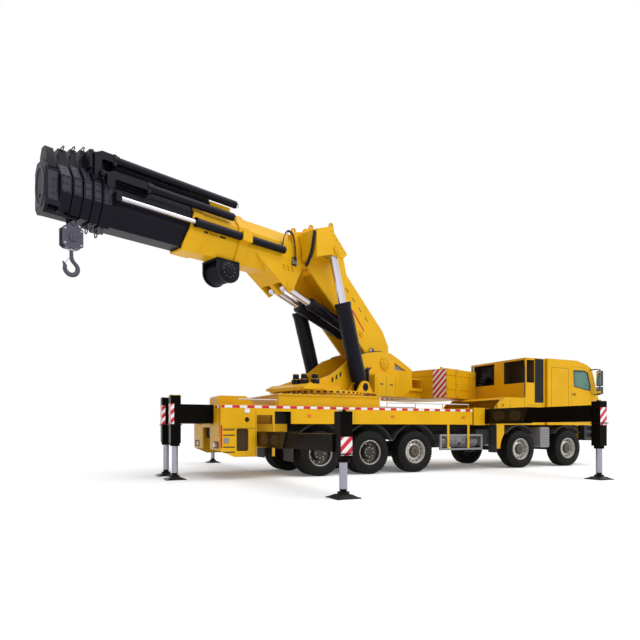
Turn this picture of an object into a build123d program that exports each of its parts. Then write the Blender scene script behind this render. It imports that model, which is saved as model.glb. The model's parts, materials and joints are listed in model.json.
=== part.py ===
from build123d import *
import os
from math import hypot

# Knuckle boom truck crane, in mm. Built with X forward from the last axle, Y left, Z up from the ground.
AXLES = [  # name, x, steered, twin
    ("1", 8270, True, False),
    ("2", 6350, True, False),
    ("3", 2700, False, False),
    ("4", 1350, False, True),
    ("5", 0, False, True),
]
TYRE_R, TYRE_W, TWIN_W, TWIN_GAP = 538, 385, 285, 30
RIM_R, HUB_R, SPINDLE_R = 300, 165, 60
FIT, SEAT = 0.3, 40  # running clearance, length of a running seat
HALF_WIDTH, KINGPIN_Y = 1250, 800
REAR_X, DECK_X1, DECK_Z, SKIRT_Z, FLOOR_T = -2410, 4555, 1640, 1230, 40
RAIL_Y0, RAIL_Y1, RAIL_Z0, RAIL_Z1 = 340, 430, 900, 1230
SUB_Y = 600
CAB_X0, CAB_X1, CAB_Y, CAB_Z0, CAB_ROOF, CAB_T = 7420, 9660, 1225, 1230, 3190, 40
SCREEN_TOP, SCREEN_LOW = (9330, 2960), (9600, 2150)
DOOR_X0, DOOR_X1, DOOR_Z0, DOOR_Z1, DOOR_GAP = 8420, 9330, 1300, 2995, 5
DOOR_HINGES, HINGE_R, HINGE_OUT = (1480, 2180), 12, 14
BUMPER_X0, BUMPER_X1, BUMPER_Z0 = 9560, 9700, 745
CABINET_X0, CABINET_X1, CABINET_Y, CABINET_TOP, LASH_BORE = 6620, 7400, 1150, 3180, 45

# Outriggers: two beams slide sideways out of a paired box, with the leg on the end of the second.
LEGS = [  # name, side, x, beam centre z, outer beam height, leg y, leg top z, leg bottom z, hold of a beam
    ("rear_right", -1, -1400, 890, 330, 4960, 1400, 640, 210),
    ("rear_left", 1, -960, 890, 330, 4960, 1400, 640, 210),
    ("front_right", -1, 5240, 1460, 410, 4560, 1730, 740, 410),
    ("front_left", 1, 4800, 1460, 410, 4560, 1730, 740, 410),
]
BOXES = [(-1620, -740, 690, 1232), (4580, 5460, 1230, 1691)]  # x0, x1, z0, z1
LEG_IN_Y, BOX_HALF, BEAM_W, BEAM_WALL, BEAM_GAP = 1090, 950, 330, 14, 6
LEG_W, LEG_FLANGE, JACK_R, JACK_STROKE, PAD_W, PAD_T = 220, 24, 67, 420, 430, 18
AUX_X, AUX_Y, AUX_W, AUX_Z0, AUX_Z1 = -3240, 540, 240, 1240, 1660
AUX_TOP, AUX_LOW, AUX_TRAVEL = 1850, 800, 690

# Superstructure: its own frame has X along the boom, Y to the boom's left, and turns about the slew axis.
SLEW_X, SLEW_DEG, RING_R, RING_Z, NOTCHES = 600, 200, 1120, 1975, 44
BOOM_FOOT, FOOT_R, KNUCKLE = (-1980, 2950), 95, (700, 5500)
LIFT_BASE, LIFT_EYE, LIFT_Y = (-650, 2190), (420, 5450), 780
LIFT_BARREL, LIFT_R, LIFT_ROD_R, LIFT_ROD_LEN, LIFT_FLOOR = 2180, 195, 100, 2500, 290
FOLD_BASE, FOLD_EYE, FOLD_Y = (-1080, 3684), (1450, 4500), 205
FOLD_BARREL, FOLD_R, FOLD_ROD_R, FOLD_ROD_LEN, FOLD_FLOOR = 1790, 145, 80, 1800, 170
LIFT_PIN_R, FOLD_PIN_R, KNUCKLE_R = 70, 55, 85
BOOM_Y, BOOM_PLATE, TONGUE_Y, CHEEK_Y, CHEEK_T = 450, 55, 385, 470, 80
TAIL_X0, TAIL_X1, TAIL_HALF, TAIL_TOP = -4110, -5840, 330, 2270
SLABS = [(2035, 2285), (2285, 2715), (2715, 2925)]  # z0, z1
DRIVES = [(948, 60), (900, 300), (760, 540)]
EYE_BORE, EYE_R, EYE_T = 32, 62, 40
LIFTING_EYES = [  # carried by, x, z, y
    ("main", 790, 6035, 410),
    ("main", 600, 6005, 900),
    ("outer", 1290, 5850, 320),
]

# Telescope: octagonal tubes about one centre line, each with a collar at its head.
TUBE_MID = 5265
TUBE_SHAPE = [(1, -0.41), (1, 0.49), (0.42, 1.28), (-0.42, 1.28)]  # shares of the half width
TUBE_SHAPE += [(-1, 0.49), (-1, -0.41), (-0.5, -1.28), (0.5, -1.28)]
HOUSING_W, HOUSING_X0, HOUSING_X1, WALL, SECTION_WALL = 400, 1250, 4250, 16, 14
COLLAR = 34
SECTIONS = [  # name, half width, tail x, collar x0, collar x1, ear top over the centre line
    ("1", 374, 1350, 5750, 5930, 685),
    ("2", 350, 1380, 5945, 6090, 725),
    ("3", 326, 1410, 6105, 6250, 625),
    ("4", 302, 1440, 6265, 6420, 625),
    ("5", 278, 1470, 6435, 6620, 585),
]
TIP_X, TIP_T, JIB_BORE, JIB_Z = 6850, 50, 35, TUBE_MID - 185
HOOK_PIN, HOOK_PIN_R, SHANK_R, HOOK_R, THROAT_R = (6330, TUBE_MID - 535), 30, 30, 150, 75
EXT_Y, EXT_Z, EXT_R, EXT_ROD_R = 490, TUBE_MID - 15, 82, 44
TOP_R, TOP_BORE, TOP_ROD_R = 80, 46, 40
TOP_TUBES = [  # carried by, y, rise, tail x, head x, rod carried by, rod end x, rod arm inner y, arm's low rise
    ("1", 450, 355, 3150, 5150, "2", 6000, 260, 295),
    ("2", 330, 695, 3000, 5750, "3", 6160, 120, 425),
]


def block(x0, x1, y0, y1, z0, z1):
    return Pos((x0 + x1) / 2, (y0 + y1) / 2, (z0 + z1) / 2) * Box(abs(x1 - x0), abs(y1 - y0), abs(z1 - z0))


def side(points, y0, y1):
    wire = Polyline(*[(x, y0, z) for x, z in points], close=True)
    return extrude(make_face(wire), amount=y1 - y0, dir=(0, 1, 0))


def cross(points, x0, x1):
    wire = Polyline(*[(x0, y, z) for y, z in points], close=True)
    return extrude(make_face(wire), amount=x1 - x0, dir=(1, 0, 0))


def rod(p, q, r):
    axis = Vector(*q) - Vector(*p)
    return extrude(Plane(origin=p, z_dir=axis) * Circle(r), amount=axis.length)


def pin(x, z, r, y0, y1):
    return Pos(x, (y0 + y1) / 2, z) * Rot(90, 0, 0) * Cylinder(r, abs(y1 - y0))


def post(x, y, r, z0, z1):
    return Pos(x, y, (z0 + z1) / 2) * Cylinder(r, z1 - z0)


def toward(p, q, distance):
    share = distance / hypot(q[0] - p[0], q[1] - p[1])
    return p[0] + (q[0] - p[0]) * share, p[1] + (q[1] - p[1]) * share


def fuse(items):
    solid = items[0]
    for item in items[1:]:
        solid = solid + item
    return solid


def flip(shape):
    return mirror(shape, about=Plane.XZ)


def pair(shape):
    return [shape, flip(shape)]


FIXED, TURNING = {}, {}


# Wheels: a tyre on a dished disc, or two tyres on one drum.
def spin(points):
    return revolve(make_face(Polyline(*[(r, y, 0) for r, y in points], close=True)), Axis.Y)


def tyre(y0, y1):
    points = [(RIM_R, y0 + 20), (TYRE_R - 90, y0), (TYRE_R - 20, y0 + 22), (TYRE_R, y0 + 60)]
    points += [(TYRE_R, y1 - 60), (TYRE_R - 20, y1 - 22), (TYRE_R - 90, y1), (RIM_R, y1 - 20)]
    return spin(points)


def single_wheel():
    y1 = HALF_WIDTH
    y0 = y1 - TYRE_W
    dish = [(SPINDLE_R + FIT, y0 + 40), (HUB_R, y0 + 40), (HUB_R, y1 - 140), (RIM_R - 30, y1 - 190)]
    dish += [(RIM_R - 30, y0 + 20), (RIM_R, y0 + 20), (RIM_R, y1 - 20), (RIM_R - 30, y1 - 20)]
    dish += [(RIM_R - 30, y1 - 150), (HUB_R, y1 - 90), (HUB_R - 40, y1 - 45), (0, y1 - 45)]
    dish += [(0, y1 - 150), (SPINDLE_R + FIT, y1 - 150)]
    return tyre(y0, y1) + spin(dish)


def twin_wheel():
    y2 = HALF_WIDTH
    y1 = y2 - TWIN_W
    y0 = y1 - TWIN_GAP - TWIN_W
    drum = [(SPINDLE_R + FIT, y0 + 40), (RIM_R, y0 + 20), (RIM_R, y2 - 20), (RIM_R - 25, y2 - 20)]
    drum += [(RIM_R - 45, y2 - 170), (HUB_R + 10, y2 - 185), (HUB_R - 15, y2 - 60), (0, y2 - 60)]
    drum += [(0, y2 - 200), (SPINDLE_R + FIT, y2 - 200)]
    return fuse([tyre(y1, y2), spin(drum), tyre(y0, y1 - TWIN_GAP)])


def steering_knuckle():
    y = KINGPIN_Y
    body = block(-75, 75, y - 60, y + 95, -150, 150) - block(-100, 100, y - 100, y + 66, -86, 86)
    arm = block(-330, -70, y - 55, y - 5, -150, -110)
    spindle = pin(0, 0, SPINDLE_R, y + 80, HALF_WIDTH - 155)
    return fuse([body, arm, spindle]) - post(0, y, 35 + FIT, -160, 160)


single, double, steer = single_wheel(), twin_wheel(), steering_knuckle()
for name, x, steered, twin in AXLES:
    shape = double if twin else single
    FIXED[f"wheel_{name}_left"] = Pos(x, 0, TYRE_R) * shape
    FIXED[f"wheel_{name}_right"] = Pos(x, 0, TYRE_R) * flip(shape)
    if steered:
        FIXED[f"knuckle_{name}_left"] = Pos(x, 0, TYRE_R) * steer
        FIXED[f"knuckle_{name}_right"] = Pos(x, 0, TYRE_R) * flip(steer)

# Chassis frame with its axles and the deep subframe under the crane.
sub_top = DECK_Z - FLOOR_T
frame = []
for y0, y1 in ((RAIL_Y0, RAIL_Y1), (-RAIL_Y1, -RAIL_Y0)):
    frame.append(block(BOXES[0][1], BUMPER_X0, y0, y1, RAIL_Z0, RAIL_Z1))
    frame.append(block(REAR_X + 110, BOXES[0][0], y0, y1, RAIL_Z0, RAIL_Z1))
for x in (REAR_X + 160, 700, 2000, 3500, 4400, 5500, 6900, 8950):
    frame.append(block(x - 50, x + 50, -RAIL_Y0, RAIL_Y0, RAIL_Z0 + 50, RAIL_Z1 - 50))
tunnel = block(-600, DECK_X1 - 40, 40 - SUB_Y, SUB_Y - 40, RAIL_Z1, sub_top - 30)
frame.append(block(-640, DECK_X1, -SUB_Y, SUB_Y, RAIL_Z1, sub_top) - tunnel)
for name, x, steered, twin in AXLES:
    reach = HALF_WIDTH - 205 if twin else HALF_WIDTH - 155
    for y0, y1 in ((RAIL_Y0, RAIL_Y1), (-RAIL_Y1, -RAIL_Y0)):
        frame.append(block(x - 80, x + 80, y0, y1, TYRE_R + 52, RAIL_Z0))
        frame.append(block(x - 430, x + 430, y0 + 5, y1 - 5, TYRE_R + 182, TYRE_R + 232))
    if steered:
        frame.append(block(x - 60, x + 60, 60 - KINGPIN_Y, KINGPIN_Y - 60, TYRE_R - 70, TYRE_R + 70))
        for y in (KINGPIN_Y, -KINGPIN_Y):
            frame.append(post(x, y, 62, TYRE_R - 80, TYRE_R + 80))
            frame.append(post(x, y, 35, TYRE_R - 140, TYRE_R + 140))
            inner = y - 80 if y > 0 else y + 80
            frame.append(block(x - 60, x + 60, min(inner, y), max(inner, y), TYRE_R - 70, TYRE_R + 70))
    else:
        tube = 675 if twin else HALF_WIDTH - TYRE_W + 30
        frame.append(Pos(x, 0, TYRE_R) * Rot(90, 0, 0) * Cylinder(85, 2 * tube))
        frame.append(Pos(x, 0, TYRE_R) * Rot(90, 0, 0) * Cylinder(SPINDLE_R, 2 * reach))
        frame.append(Pos(x, 0, TYRE_R) * Rot(0, 90, 0) * Cylinder(190, 300))
FIXED["chassis_frame"] = fuse(frame)
FIXED["engine_block"] = block(7300, 8850, -RAIL_Y0, RAIL_Y0, 640, RAIL_Z1 - 4)


# Outrigger foot: a square plate with a bevelled crown, a hub and the chromed leg above it.
def foot(x, y, top):
    plate = block(x - PAD_W / 2, x + PAD_W / 2, y - PAD_W / 2, y + PAD_W / 2, 0, PAD_T)
    low = Pos(x, y, PAD_T) * Rectangle(PAD_W - 50, PAD_W - 50)
    high = Pos(x, y, PAD_T + 45) * Rectangle(PAD_W / 2, PAD_W / 2)
    crown = loft([low, high])
    hub = post(x, y, 100, PAD_T + 40, PAD_T + 85)
    neck = Pos(x, y, PAD_T + 110) * Cone(JACK_R - 12, JACK_R, 50)
    return fuse([plate, crown, hub, neck, post(x, y, JACK_R, PAD_T + 130, top)])


def leg_post(x, y, low, flange, top):
    half, wide = LEG_W / 2, LEG_W / 2 + LEG_FLANGE
    leg = block(x - half, x + half, y - half, y + half, low, top)
    leg = leg + block(x - wide, x + wide, y - wide, y + wide, flange - 20, flange)
    leg = leg + post(x, y, 105, low - 60, low)
    return leg - post(x, y, JACK_R + 6, low, top - 25) - post(x, y, JACK_R + FIT, low - 70, low + 5)


# Outrigger boxes, beams, legs and feet.
cuts, covers = [], []
for name, sign, x, z, h, leg_y, top, bottom, hold in LEGS:
    half, high, mouth = BEAM_W / 2, h / 2, BOX_HALF - SEAT
    for gap, end in ((BEAM_GAP, mouth), (FIT, BOX_HALF + 50)):
        cuts.append(block(x - half - gap, x + half + gap, -end, end, z - high - gap, z + high + gap))
    travel = (leg_y - LEG_IN_Y) / 2
    y1, y0 = BOX_HALF + 10 + travel, BOX_HALF - hold
    slant = [(y1 - 170, z - high - 5), (y1 + 5, z - high - 5), (y1 + 5, z + high)]
    bore_w, bore_h = half - BEAM_WALL, high - BEAM_WALL
    in_w, in_h = bore_w - BEAM_GAP, bore_h - BEAM_GAP
    outer = block(x - half, x + half, y0, y1, z - high, z + high)
    outer = outer - block(x - bore_w, x + bore_w, y0 - 5, y1 - 190 - SEAT, z - bore_h, z + bore_h)
    outer = outer - block(x - in_w - FIT, x + in_w + FIT, y0, y1 + 5, z - in_h - FIT, z + in_h + FIT)
    outer = outer - block(x - bore_w, x + bore_w, y1 - 190, y1 + 5, z - bore_h, z + bore_h)
    outer = outer - cross(slant, x - half - 5, x + half + 5)
    y3, y2 = leg_y - LEG_W / 2, y1 - hold - 5
    inner = block(x - in_w, x + in_w, y2, y3 + 5, z - in_h, z + in_h)
    inner = inner - block(x - in_w + 14, x + in_w - 14, y2 - 5, y3 - 20, z - in_h + 14, z + in_h - 14)
    inner = inner + leg_post(x, leg_y, bottom, z - high, top)
    shapes = (("beam_outer", outer), ("beam_inner", inner), ("jack", foot(x, leg_y, top - 30 - JACK_STROKE)))
    for word, shape in shapes:
        FIXED[f"{word}_{name}"] = shape if sign > 0 else flip(shape)
    if z > RAIL_Z1:
        wall = half + 27
        end = block(x - wall, x + wall, HALF_WIDTH - 38, HALF_WIDTH, z - high - 40, z + high + 25)
        webs = []
        for d in (7 - wall, wall - 7):
            webs.append(block(x + d - 7, x + d + 7, BOX_HALF - 10, HALF_WIDTH, z - high - 40, z + high + 25))
        cover = fuse([end] + webs)
        covers.append(cover if sign < 0 else flip(cover))
housing = fuse([block(x0, x1, -BOX_HALF, BOX_HALF, z0, z1) for x0, x1, z0, z1 in BOXES] + covers)
for cut in cuts:
    housing = housing - cut
aux_half, aux_out = AUX_W / 2, AUX_W / 2 + 22
aux_tubes, aux_legs = [], []
for word, y in (("left", AUX_Y), ("right", -AUX_Y)):
    tube = block(REAR_X + 5, -1050, y - aux_out, y + aux_out, AUX_Z0 - 10, AUX_Z1 + 22)
    for gap, x0 in ((BEAM_GAP, REAR_X + 5 + SEAT), (FIT, REAR_X)):
        tube = tube - block(x0, -1040, y - aux_half - gap, y + aux_half + gap, AUX_Z0 - gap, AUX_Z1 + gap)
    aux_tubes.append(tube)
    beam = block(AUX_X + 100, -1750, y - aux_half, y + aux_half, AUX_Z0, AUX_Z1)
    beam = beam - block(AUX_X + 140, -1745, y - aux_half + 14, y + aux_half - 14, AUX_Z0 + 14, AUX_Z1 - 14)
    leg = leg_post(AUX_X, y, AUX_LOW, AUX_Z0 - 20, AUX_TOP)
    aux_legs.append(beam + leg - post(AUX_X, y, JACK_R + 6, AUX_LOW, AUX_TOP - 25))
    FIXED[f"rear_jack_{word}"] = foot(AUX_X, y, AUX_TOP - 30 - JACK_STROKE)
FIXED["outrigger_boxes"] = fuse([housing] + aux_tubes)
FIXED["rear_beams"] = aux_legs[0] + aux_legs[1]

# Deck with side skirts, the deep rear body with its openings, the valve cover and low hand rails.
skirt_y = HALF_WIDTH - FLOOR_T
rear_side = [(REAR_X, 640), (REAR_X + 320, 500), (-1160, 500), (-1160, DECK_Z - 30), (REAR_X, DECK_Z - 30)]
deck = [block(REAR_X, DECK_X1, -HALF_WIDTH, HALF_WIDTH, sub_top, DECK_Z)]
for y0, y1 in ((skirt_y, HALF_WIDTH), (-HALF_WIDTH, -skirt_y)):
    deck.append(block(-760, DECK_X1, y0, y1, SKIRT_Z, DECK_Z - 30))
    deck.append(block(-1160, -760, y0, y1, 1510, DECK_Z - 30))
    deck.append(side(rear_side, y0, y1))
deck.append(block(REAR_X, REAR_X + 30, -HALF_WIDTH, HALF_WIDTH, 640, DECK_Z - 30))
hump = [(-2230, DECK_Z), (-2230, 1850), (-2190, 1890), (-1560, 1890), (-1400, 1760), (-1400, DECK_Z)]
deck.append(side(hump, aux_out - AUX_Y + 8, AUX_Y - aux_out - 8))
for x0, x1 in ((-2000, -1100), (1850, 4450)):
    count = int((x1 - x0) / 800) + 1
    for i in range(count):
        deck += pair(post(x0 + (x1 - x0) * i / (count - 1), HALF_WIDTH - 40, 11, DECK_Z - 10, DECK_Z + 140))
    deck += pair(rod((x0 - 11, HALF_WIDTH - 40, DECK_Z + 130), (x1 + 11, HALF_WIDTH - 40, DECK_Z + 130), 11))
deck = fuse(deck)
leg_x = LEGS[0][2]
deck = deck - block(leg_x - 185, leg_x + 185, -HALF_WIDTH - 50, -skirt_y + 10, 480, 1425)
deck = deck - block(REAR_X - 10, REAR_X + 50, -350, 350, 560, 1150)
step = Pos(-1915, 0, 875) * Rot(90, 0, 0) * extrude(RectangleRounded(270, 490, 40), amount=3000, both=True)
step = step & block(-3000, 0, -HALF_WIDTH - 10, 10 - skirt_y, 0, 2000)
deck = deck - step - pin(-1810, 1320, 55, -HALF_WIDTH - 10, 10 - skirt_y)
for z in (610, 720, 980, 1095):
    deck = deck - block(-2350, -2090, -HALF_WIDTH - 5, 12 - HALF_WIDTH, z - 12, z + 12)
for y in (AUX_Y, -AUX_Y):
    deck = deck - block(REAR_X - 10, -1045, y - aux_out, y + aux_out, AUX_Z0 - 20, AUX_Z1 + 40)
FIXED["deck_body"] = deck

# Slewing base on the deck with the fixed ring.
base = [block(-1010, 1710, -1100, 1100, DECK_Z, 1890), block(-1040, 1740, -1130, 1130, 1890, 1925)]
base.append(post(SLEW_X, 0, RING_R - 40, 1925, RING_Z))
FIXED["slew_base"] = fuse(base) - post(SLEW_X, 0, 300 + FIT, 1900, RING_Z + 25)

# Mudguards hang from the frame over every wheel.
guards = []
for name, x, steered, twin in AXLES:
    y0, y1 = 640 if twin else 880, HALF_WIDTH - 45
    r, low = (TYRE_R + 150, 440) if steered else (TYRE_R + 177, 300)
    arc = Pos(x, 0, TYRE_R) * Rot(90, 0, 0) * (Cylinder(r, y1 - y0) - Cylinder(r - 14, HALF_WIDTH))
    arc = arc & block(x - 650, x + 650, -HALF_WIDTH, HALF_WIDTH, TYRE_R + low, TYRE_R + 900)
    arc = Pos(0, (y0 + y1) / 2, 0) * arc
    stay = block(x - 40, x + 40, RAIL_Y1 if steered else SUB_Y, y0 + 60, RAIL_Z1 - 50, TYRE_R + r - 6)
    guards += pair(fuse([arc, stay]))
FIXED["mudguards"] = fuse(guards)


# Cab: a hollow shell with its openings, glass, inside and bumper.
def on_screen(share, depth):
    dx, dz = SCREEN_LOW[0] - SCREEN_TOP[0], SCREEN_LOW[1] - SCREEN_TOP[1]
    run = hypot(dx, dz)
    return SCREEN_TOP[0] + dx * share + depth * dz / run, SCREEN_TOP[1] + dz * share - depth * dx / run


in_y, floor_z, in_roof = CAB_Y - CAB_T, CAB_Z0 + 60, CAB_ROOF - CAB_T
profile = [(CAB_X0, CAB_Z0), (CAB_X0, CAB_ROOF), (8650, CAB_ROOF), (9100, 3085), SCREEN_TOP, SCREEN_LOW]
profile += [(CAB_X1, 1950), (CAB_X1 - 15, CAB_Z0)]
hollow = [(CAB_X0 + CAB_T, floor_z), (CAB_X0 + CAB_T, in_roof), (8640, in_roof), (9085, 3046)]
hollow += [on_screen(0, CAB_T), on_screen(1, CAB_T), (CAB_X1 - CAB_T, 1940), (CAB_X1 - 15 - CAB_T, floor_z)]
shell = side(profile, -CAB_Y, CAB_Y) - side(hollow, -in_y, in_y)
opening = [on_screen(0.06, -60), on_screen(0.06, 100), on_screen(0.94, 100), on_screen(0.94, -60)]
shell = shell - side(opening, 135 - CAB_Y, CAB_Y - 135)
door_line = [(DOOR_X0, DOOR_Z0), (DOOR_X0, DOOR_Z1), (9000, DOOR_Z1 - 20), (9190, DOOR_Z1 - 125)]
door_line += [(DOOR_X1, 2450), (DOOR_X1, DOOR_Z0)]
door_face = make_face(Polyline(*[(x, 0, z) for x, z in door_line], close=True))
gap_face = offset(door_face, DOOR_GAP, kind=Kind.INTERSECTION)
shell = shell - extrude(gap_face, amount=CAB_Y + 50, dir=(0, 1, 0), both=True)
shell = shell - block(7380, 7500, -700, 700, 2450, 2950)
for z in range(1420, 1920, 90):
    shell = shell - block(CAB_X1 - 25, CAB_X1 + 10, -820, 820, z, z + 50)
hinge_x, hinge_y = DOOR_X1 + DOOR_GAP / 2, CAB_Y + HINGE_OUT
leaves, knuckles = [], []
for z in DOOR_HINGES:
    leaves.append(post(hinge_x, hinge_y, HINGE_R, z, z + 60))
    leaves.append(block(hinge_x + 4, hinge_x + 45, CAB_Y - 5, CAB_Y + 9, z, z + 60))
    knuckles.append(post(hinge_x, hinge_y, HINGE_R, z + 60 + FIT, z + 120))
    knuckles.append(block(hinge_x - 45, hinge_x - 4, CAB_Y - 5, CAB_Y + 9, z + 60 + FIT, z + 120))
for leaf in leaves:
    shell = fuse([shell] + pair(leaf))
FIXED["cab_shell"] = shell
pane = [on_screen(0.03, CAB_T), on_screen(0.03, CAB_T + 24)]
pane += [on_screen(0.97, CAB_T + 24), on_screen(0.97, CAB_T)]
rear_pane = block(CAB_X0 + CAB_T, CAB_X0 + CAB_T + 20, -730, 730, 2420, 2980)
FIXED["cab_glass"] = side(pane, 115 - CAB_Y, CAB_Y - 115) + rear_pane
inside = []
for y in (620, -620):
    inside.append(block(8350, 8800, y - 230, y + 230, 1640, 1740))
    inside.append(block(8250, 8370, y - 230, y + 230, 1640, 2400))
    inside.append(block(8400, 8750, y - 150, y + 150, floor_z, 1640))
inside.append(block(9230, 9480, -1050, 1050, floor_z, 2020))
inside.append(rod((9250, 620, 1970), (9060, 620, 2140), 25))
inside.append(Pos(9060, 620, 2140) * Rot(0, -48, 0) * Cylinder(230, 24))
FIXED["cab_interior"] = fuse(inside)
window = [(8520, 2890), (8540, 2400), (9262, 2290), (9262, 2440), (9140, 2830), (8980, 2890)]
panel = extrude(door_face, amount=CAB_T, dir=(0, 1, 0))
panel = fuse([Pos(0, in_y, 0) * panel] + knuckles) - side(window, in_y - 20, CAB_Y + 20)
panel = panel - block(8470, 8610, CAB_Y - 12, CAB_Y + 5, 2120, 2200)
FIXED["door_left"], FIXED["door_right"] = panel, flip(panel)
bumper = side([(9000, BUMPER_Z0 + 20), (BUMPER_X1, BUMPER_Z0), (BUMPER_X1, 1225), (9000, 1225)], -CAB_Y, CAB_Y)
bumper = bumper - block(8990, BUMPER_X0, -1000, 1000, 700, 1225)
for z in (830, 1040):
    for y in (CAB_Y, -CAB_Y):
        bumper = bumper - block(9060, 9480, y - 110, y + 110, z, z + 150)
bumper = bumper - block(BUMPER_X1 - 30, BUMPER_X1 + 10, -520, 520, 860, 1130)
FIXED["front_bumper"] = bumper
fittings = []
for sign in (1, -1):
    arm_y = sign * (CAB_Y + 190)
    for z, x0, low, high in ((2930, 9245, 2430, 2890), (2170, 9425, 2180, 2400)):
        fittings.append(rod((x0, sign * CAB_Y, z), (x0, arm_y + sign * 18, z), 18))
        fittings.append(rod((x0 - 18, arm_y, z), (9460, arm_y, z), 18))
        head = extrude(Pos(9440, arm_y, low) * Rectangle(110, 190), amount=high - low)
        fittings.append(fillet(head.edges().filter_by(Axis.Z), 40))
    fittings.append(rod((9440, arm_y, 2160), (9440, arm_y, 2940), 16))
    fittings.append(block(BUMPER_X1, BUMPER_X1 + 15, sign * 780 - 160, sign * 780 + 160, 980, 1120))
fittings.append(post(8590, 0, 70, CAB_ROOF, CAB_ROOF + 100))
visor = [(9110, 3083), (9330, 2961), (9420, 2965), (9140, 3120)]
fittings.append(side(visor, -1100, 1100))
FIXED["cab_fittings"] = fuse(fittings)

# Cabinets and low bodywork behind the cab, with lashing lugs and the panels before the second axle.
tall = block(CABINET_X0, CABINET_X1, -CABINET_Y, CABINET_Y, RAIL_Z1, CABINET_TOP)
tall = tall - block(CABINET_X0 - 10, 7300, 100, CABINET_Y - 60, 2200, CABINET_TOP - 60)
niche = block(CABINET_X0 + 40, 6970, -CABINET_Y - 10, -300, 2460, CABINET_TOP - 60)
niche = niche + block(CABINET_X0 - 10, 6970, 40 - CABINET_Y, -300, 2460, CABINET_TOP - 60)
low = side([(5500, RAIL_Z1), (5500, 1640), (5850, 2015), (6640, 2015), (6640, RAIL_Z1)], -CABINET_Y, CABINET_Y)
low = low - block(5480, 6600, 150 - CABINET_Y, CABINET_Y - 150, RAIL_Z1 - 30, 1950)
lash = [(5520, 1600), (5900, 1600), (5900, 1800), (5800, 1890), (5620, 1890), (5520, 1800)]
lash = side(lash, CABINET_Y - 5, CABINET_Y + 30) - pin(5710, 1780, LASH_BORE, CABINET_Y, CABINET_Y + 40)
fender = block(5500, 5800, CABINET_Y - 30, CABINET_Y, 560, RAIL_Z1 + 5)
fender = fender - pin(AXLES[1][1], TYRE_R, TYRE_R + 162, CABINET_Y - 50, CABINET_Y + 50)
FIXED["cabinets"] = fuse([tall - niche, low] + pair(lash) + pair(fender))

# Side tanks: air tanks in a guard frame and a tread-faced tank on the right, fuel tank on the left.
rack = []
for x in (3490, 4880):
    rack.append(block(x, x + 50, -1230, -1180, 550, 970))
for z in (550, 920):
    rack.append(block(3490, 4930, -1230, -1180, z, z + 50))
for x in (3600, 4150, 4700):
    rack.append(block(x, x + 40, -1180, -RAIL_Y1, 930, 965))
for x in (3560, 4210):
    rack.append(rod((x, -1050, 780), (x + 560, -1050, 780), 145))
    for i in range(6):
        rack.append(rod((x + 60 + 80 * i, -1050, 780), (x + 90 + 80 * i, -1050, 780), 153))
rack.append(block(3700, 4500, -1180, -1040, 760, 935))
fuel = extrude(Pos(3450, 815, 900) * Rot(0, 90, 0) * RectangleRounded(560, 770, 90), amount=950)
fuel = fuel + block(3550, 4300, RAIL_Y1, 500, 950, 1050)
step_tank = Pos(7315, 0, 870) * Rot(90, 0, 0) * extrude(RectangleRounded(360, 590, 60), amount=1220)
step_tank = step_tank & block(7000, 7600, -1220, -760, 500, 1300)
step_tank = step_tank + block(7250, 7350, -770, -RAIL_Y1, 930, 1010)
FIXED["side_tanks"] = fuse(rack) + fuel + step_tank

# Turntable: notched ring, floor, cheeks, lift lugs, drives, side boxes and tail.
ring = post(0, 0, RING_R, RING_Z + FIT, 2045)
for place in PolarLocations(RING_R, NOTCHES):
    ring = ring - Pos(0, 0, 2008) * place * Box(90, 75, 44)
table = [ring, post(0, 0, 300, RING_Z - 45, RING_Z + 15)]
table.append(block(-1150, 900, -985, 985, 2030, 2060))
cheek_out = CHEEK_Y + CHEEK_T
table.append(block(-2560, 1300, -cheek_out, cheek_out, 2030, 2080))
cheek = [(1300, 2040), (1300, 2110), (180, 2470), (-110, 2640), (-600, 2960), (-1200, 3160), (-1700, 3240)]
cheek += [(-2250, 3250), (-2620, 3130), (-3300, 2860), (-3320, 2310), (-2900, 2040)]
pane = [(-2450, 2800), (-2450, 3000), (-3020, 2800)]
plate = side(cheek, CHEEK_Y, cheek_out) + pin(*BOOM_FOOT, 340, CHEEK_Y, cheek_out)
plate = plate - side(pane, CHEEK_Y - 10, cheek_out + 10)
for x, z in ((150, 2380), (0, 2455), (-150, 2535)):
    slot = [(x - 35, z - 70), (x + 35, z - 105), (x + 35, z + 15), (x - 35, z + 50)]
    plate = plate - side(slot, CHEEK_Y - 10, cheek_out + 10)
table += pair(plate)
table.append(pin(*BOOM_FOOT, FOOT_R, -cheek_out - 10, cheek_out + 10))
lug = [(-960, 2050), (-340, 2050), (-520, 2320), (-650, 2350), (-780, 2320)]
for y0 in (LIFT_Y - 180, LIFT_Y + 120):
    table += pair(side(lug, y0, y0 + 60))
table += pair(pin(*LIFT_BASE, LIFT_PIN_R, LIFT_Y - 180, LIFT_Y + 180))
box = fillet(block(-2090, -1120, cheek_out - 5, 900, 1990, 2590).edges().filter_by(Axis.Y), 90)
table += pair(box)
hood = [(0, 2060), (0, 2200), (1080, 2200), (1280, 2110), (1280, 2060)]
table.append(side(hood, -690, 690))
table.append(block(-5700, -2500, -TAIL_HALF, TAIL_HALF, 2045, TAIL_TOP))
table.append(block(-4090, -3300, -400, 400, TAIL_TOP - 10, 2640) - block(-4050, -3540, -410, 410, 2350, 2600))
table.append(block(-3000, -2850, -cheek_out, cheek_out, 2060, 2700))
for x, y in DRIVES:
    table.append(post(x, y, 105, 2190, 2330))
    table.append(post(x, y, 72, 2330, 2460))
TURNING["turntable"] = fuse(table)
slabs = []
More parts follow.
